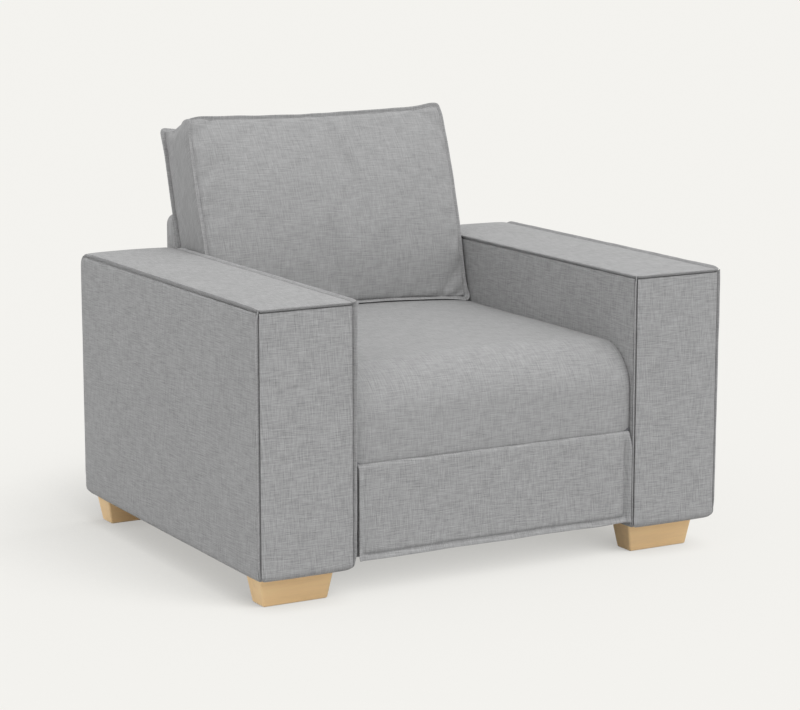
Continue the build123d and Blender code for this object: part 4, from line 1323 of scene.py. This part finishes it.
def cushion_tips(path, way):
    """The tips of the flange along the front seam, with way -1, or along the rear seam, with way 1."""
    centre = cushion_point(0.0, CUSHION_HEIGHT / 2, CUSHION_THICKNESS / 2)
    lower = (path[0], path[len(ACROSS) - 1])
    tips = []
    for i, point in enumerate(path):
        along = (path[(i + 1) % len(path)] - path[i - 1]).normalized()
        away = along.cross(CUSHION_BACK).normalized()
        if away.dot(point - centre) < 0:
            away = -away
        rise = away.dot(CUSHION_UP)
        up = cushion_place(point)[0]
        apart = min((point - corner).length for corner in lower)
        reach = 1.0 + (CUSHION_EAR - 1) * bell(apart, CUSHION_ROUND_SIZE)
        for sign, _, (front_reach, rear_reach) in CUSHION_EARS:
            apart = math.hypot(point.x - sign * CUSHION_TOP_HALF, up - CUSHION_HEIGHT)
            ear = (front_reach if way < 0 else rear_reach) - 1
            reach += ear * bell(apart, CUSHION_EAR_SIZE)
        lean = FLANGE_LEANS["top" if rise > 0 else "bottom"] * rise**2
        lean += FLANGE_LEANS["right" if away.x > 0 else "left"] * away.x**2
        tips.append((away + CUSHION_BACK * way * lean).normalized() * CUSHION_FLANGE * reach)
    return tips


def make_cushion():
    cloth, trim, sewing = Cloth(), Cloth(), Cloth()
    cloth.grid(cushion_panel(0.0, CUSHION_START_CROWN))
    cloth.grid(cushion_panel(CUSHION_THICKNESS, 0.0), flip=True)
    boxing = []
    for step in range(DEPTH_STEPS + 1):
        depth = CUSHION_THICKNESS * step / DEPTH_STEPS
        ring = cushion_ring(depth)
        ring.append(ring[0])
        flats = [(along + FLAT_AT["boxing"], depth) for along in path_lengths(ring)]
        boxing.append(list(zip(ring, flats)))
    cloth.grid(boxing)
    cover = cloth.piece("back_cushion_cover", stretched_linen, subdivide=False)
    front_seam, rear_seam = ([cell[0] for cell in ring[:-1]] for ring in (boxing[0], boxing[-1]))
    seam_places = {seam_key(point) for point in front_seam + rear_seam}
    swell(cover, seam_places)
    gather_front(cover, seam_places)
    for path, way, seed in ((front_seam, -1, 61), (rear_seam, 1, 67)):
        tips = wavy(path, cushion_tips(path, way), CUSHION_FLANGE_WAVE, seed)
        trim.flange(path, tips, sewing, loop=True)
    edge = trim.piece("back_cushion_flanges", upholstery)
    seams = sewing.piece("back_cushion_stitching", thread, subdivide=False)
    smooth(cover)
    for piece in (cover, edge, seams):
        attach(piece, "back_cushion")
    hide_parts("cushion_cover", "cushion_filling")


# Lining under the seat
def make_dust_cloth():
    low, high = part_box("dust_cloth")
    cloth = Cloth()
    half = (high.z - low.z) / 2
    rows = []
    for y in spread(low.y, high.y, 40):
        row = []
        for x in spread(low.x, high.x, 32):
            to_edge = min(x - low.x, high.x - x, y - low.y, high.y - y)
            sag = DUST_SAG * smooth_step(to_edge, *DUST_SAG_ZONE) + ripples((x, y, 0), DUST_RIPPLE)
            point = Vector((x, y, low.z + half - sag * smooth_step(to_edge, 0.0, DUST_HELD)))
            row.append((point, half, (x, y)))
        rows.append(row)
    cloth.slab(rows, Vector((0, 0, -1)), flip=True)
    lining = cloth.piece("dust_lining", dust_material)
    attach(lining, "chair_frame")
    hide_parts("dust_cloth")


# Floor, light and camera
def floor_material():
    """A pale floor whose seen colour is mostly a glow with painted shadows, soft ones close to the object
    and a broad one behind it.
    """
    material, shader = new_material("pale_floor_painted_shadow")
    fill_in(shader, {"Roughness": 1.0, "Specular IOR Level": 0.0})
    wires = Wiring(material)
    seen = wires.looked_at()
    colour = wires.node("ShaderNodeMix", data_type="RGBA")
    wires.put(seen, colour.inputs["Factor"])
    fill_in(colour, {"A": (*FLOOR_BOUNCE, 1.0), "B": (*FLOOR_COLOUR, 1.0)})
    wires.put(colour.outputs["Result"], shader.inputs["Base Color"])
    # The glow is the background colour with painted shadow, darkened by how closed in the floor is near the
    # object and towards a tilted direction
    painted_shadow_glow = wires.node("ShaderNodeEmission")
    contact = wires.node("ShaderNodeAmbientOcclusion", samples=CONTACT_SAMPLES)
    contact.inputs["Distance"].default_value = CONTACT_REACH
    cast = wires.node("ShaderNodeAmbientOcclusion", samples=CAST_SAMPLES)
    cast.inputs["Distance"].default_value = CAST_REACH
    # Direction of the painted broad shadow's occlusion lookup, not a lamp
    light = wires.node("ShaderNodeCombineXYZ")
    for socket, value in zip(light.inputs, PAINTED_CAST_FROM.normalized()):
        socket.default_value = value
    wires.put(light.outputs[0], cast.inputs["Normal"])
    near_stops = [(place, shade(BACKGROUND, tone)) for place, tone in PAINTED_CONTACT_SHADES]
    broad_stops = [(place, (tone,) * 3) for place, tone in PAINTED_CAST_SHADES]
    painted_shadow_tone = wires.node("ShaderNodeVectorMath", operation="MULTIPLY")
    wires.put(wires.ramp(contact.outputs["AO"], *near_stops), painted_shadow_tone.inputs[0])
    wires.put(wires.ramp(cast.outputs["AO"], *broad_stops), painted_shadow_tone.inputs[1])
    wires.put(painted_shadow_tone.outputs[0], painted_shadow_glow.inputs["Color"])
    # Camera rays see mostly the glow with its painted shadow, and the rest is the floor's real shading
    share = wires.math("MULTIPLY", seen, PAINTED_SHADOW_SHARE)
    mix = wires.mixed(share, shader.outputs[0], painted_shadow_glow.outputs[0])
    wires.put(mix, wires.nodes["Material Output"].inputs[0])
    return material


def make_stage():
    floor_mesh = bpy.data.meshes.new("floor")
    reach = FLOOR_REACH
    corners = [(-reach, -reach, 0), (reach, -reach, 0), (reach, reach, 0), (-reach, reach, 0)]
    floor_mesh.from_pydata(corners, [], [(0, 1, 2, 3)])
    floor_mesh.materials.append(floor_material())
    floor = bpy.data.objects.new("floor", floor_mesh)
    floor.location.z = -FLOOR_DROP
    scene.collection.objects.link(floor)

    world = bpy.data.worlds.new("studio")
    scene.world = world
    world.use_nodes = True
    wires = Wiring(world)
    wires.nodes.clear()
    ambient = wires.node("ShaderNodeBackground")
    fill_in(ambient, {"Color": (1.0, 1.0, 1.0, 1.0), "Strength": AMBIENT})
    shown = wires.node("ShaderNodeBackground")
    shown.inputs["Color"].default_value = (*BACKGROUND, 1.0)
    mix = wires.mixed(wires.looked_at(), ambient.outputs[0], shown.outputs[0])
    wires.put(mix, wires.node("ShaderNodeOutputWorld").inputs[0])

    key = bpy.data.lights.new("key", "SUN")
    key.energy = KEY * math.pi
    key.angle = KEY_ANGLE
    lamp = bpy.data.objects.new("key", key)
    lamp.rotation_mode = "QUATERNION"
    lamp.rotation_quaternion = KEY_FROM.to_track_quat("Z", "Y")
    scene.collection.objects.link(lamp)


def make_camera():
    lens = bpy.data.cameras.new("camera")
    lens.sensor_width = SENSOR_WIDTH
    lens.lens = CAMERA_LENS
    lens.clip_end = CLIP_END
    camera = bpy.data.objects.new("camera", lens)
    across = math.sin(CAMERA_AZIMUTH) * math.cos(CAMERA_ELEVATION)
    forward = -math.cos(CAMERA_AZIMUTH) * math.cos(CAMERA_ELEVATION)
    back = Vector((across, forward, math.sin(CAMERA_ELEVATION)))
    camera.location = CAMERA_TARGET + back * CAMERA_DISTANCE
    camera.rotation_mode = "QUATERNION"
    camera.rotation_quaternion = back.to_track_quat("Z", "Y")
    scene.collection.objects.link(camera)
    scene.camera = camera


for side, sign in SIDES.items():
    make_arm(side, sign)
make_seat()
make_rail_lining()
make_skirt()
make_back()
make_cushion()
make_dust_cloth()
make_stage()
make_camera()
scene.view_settings.view_transform = "Standard"
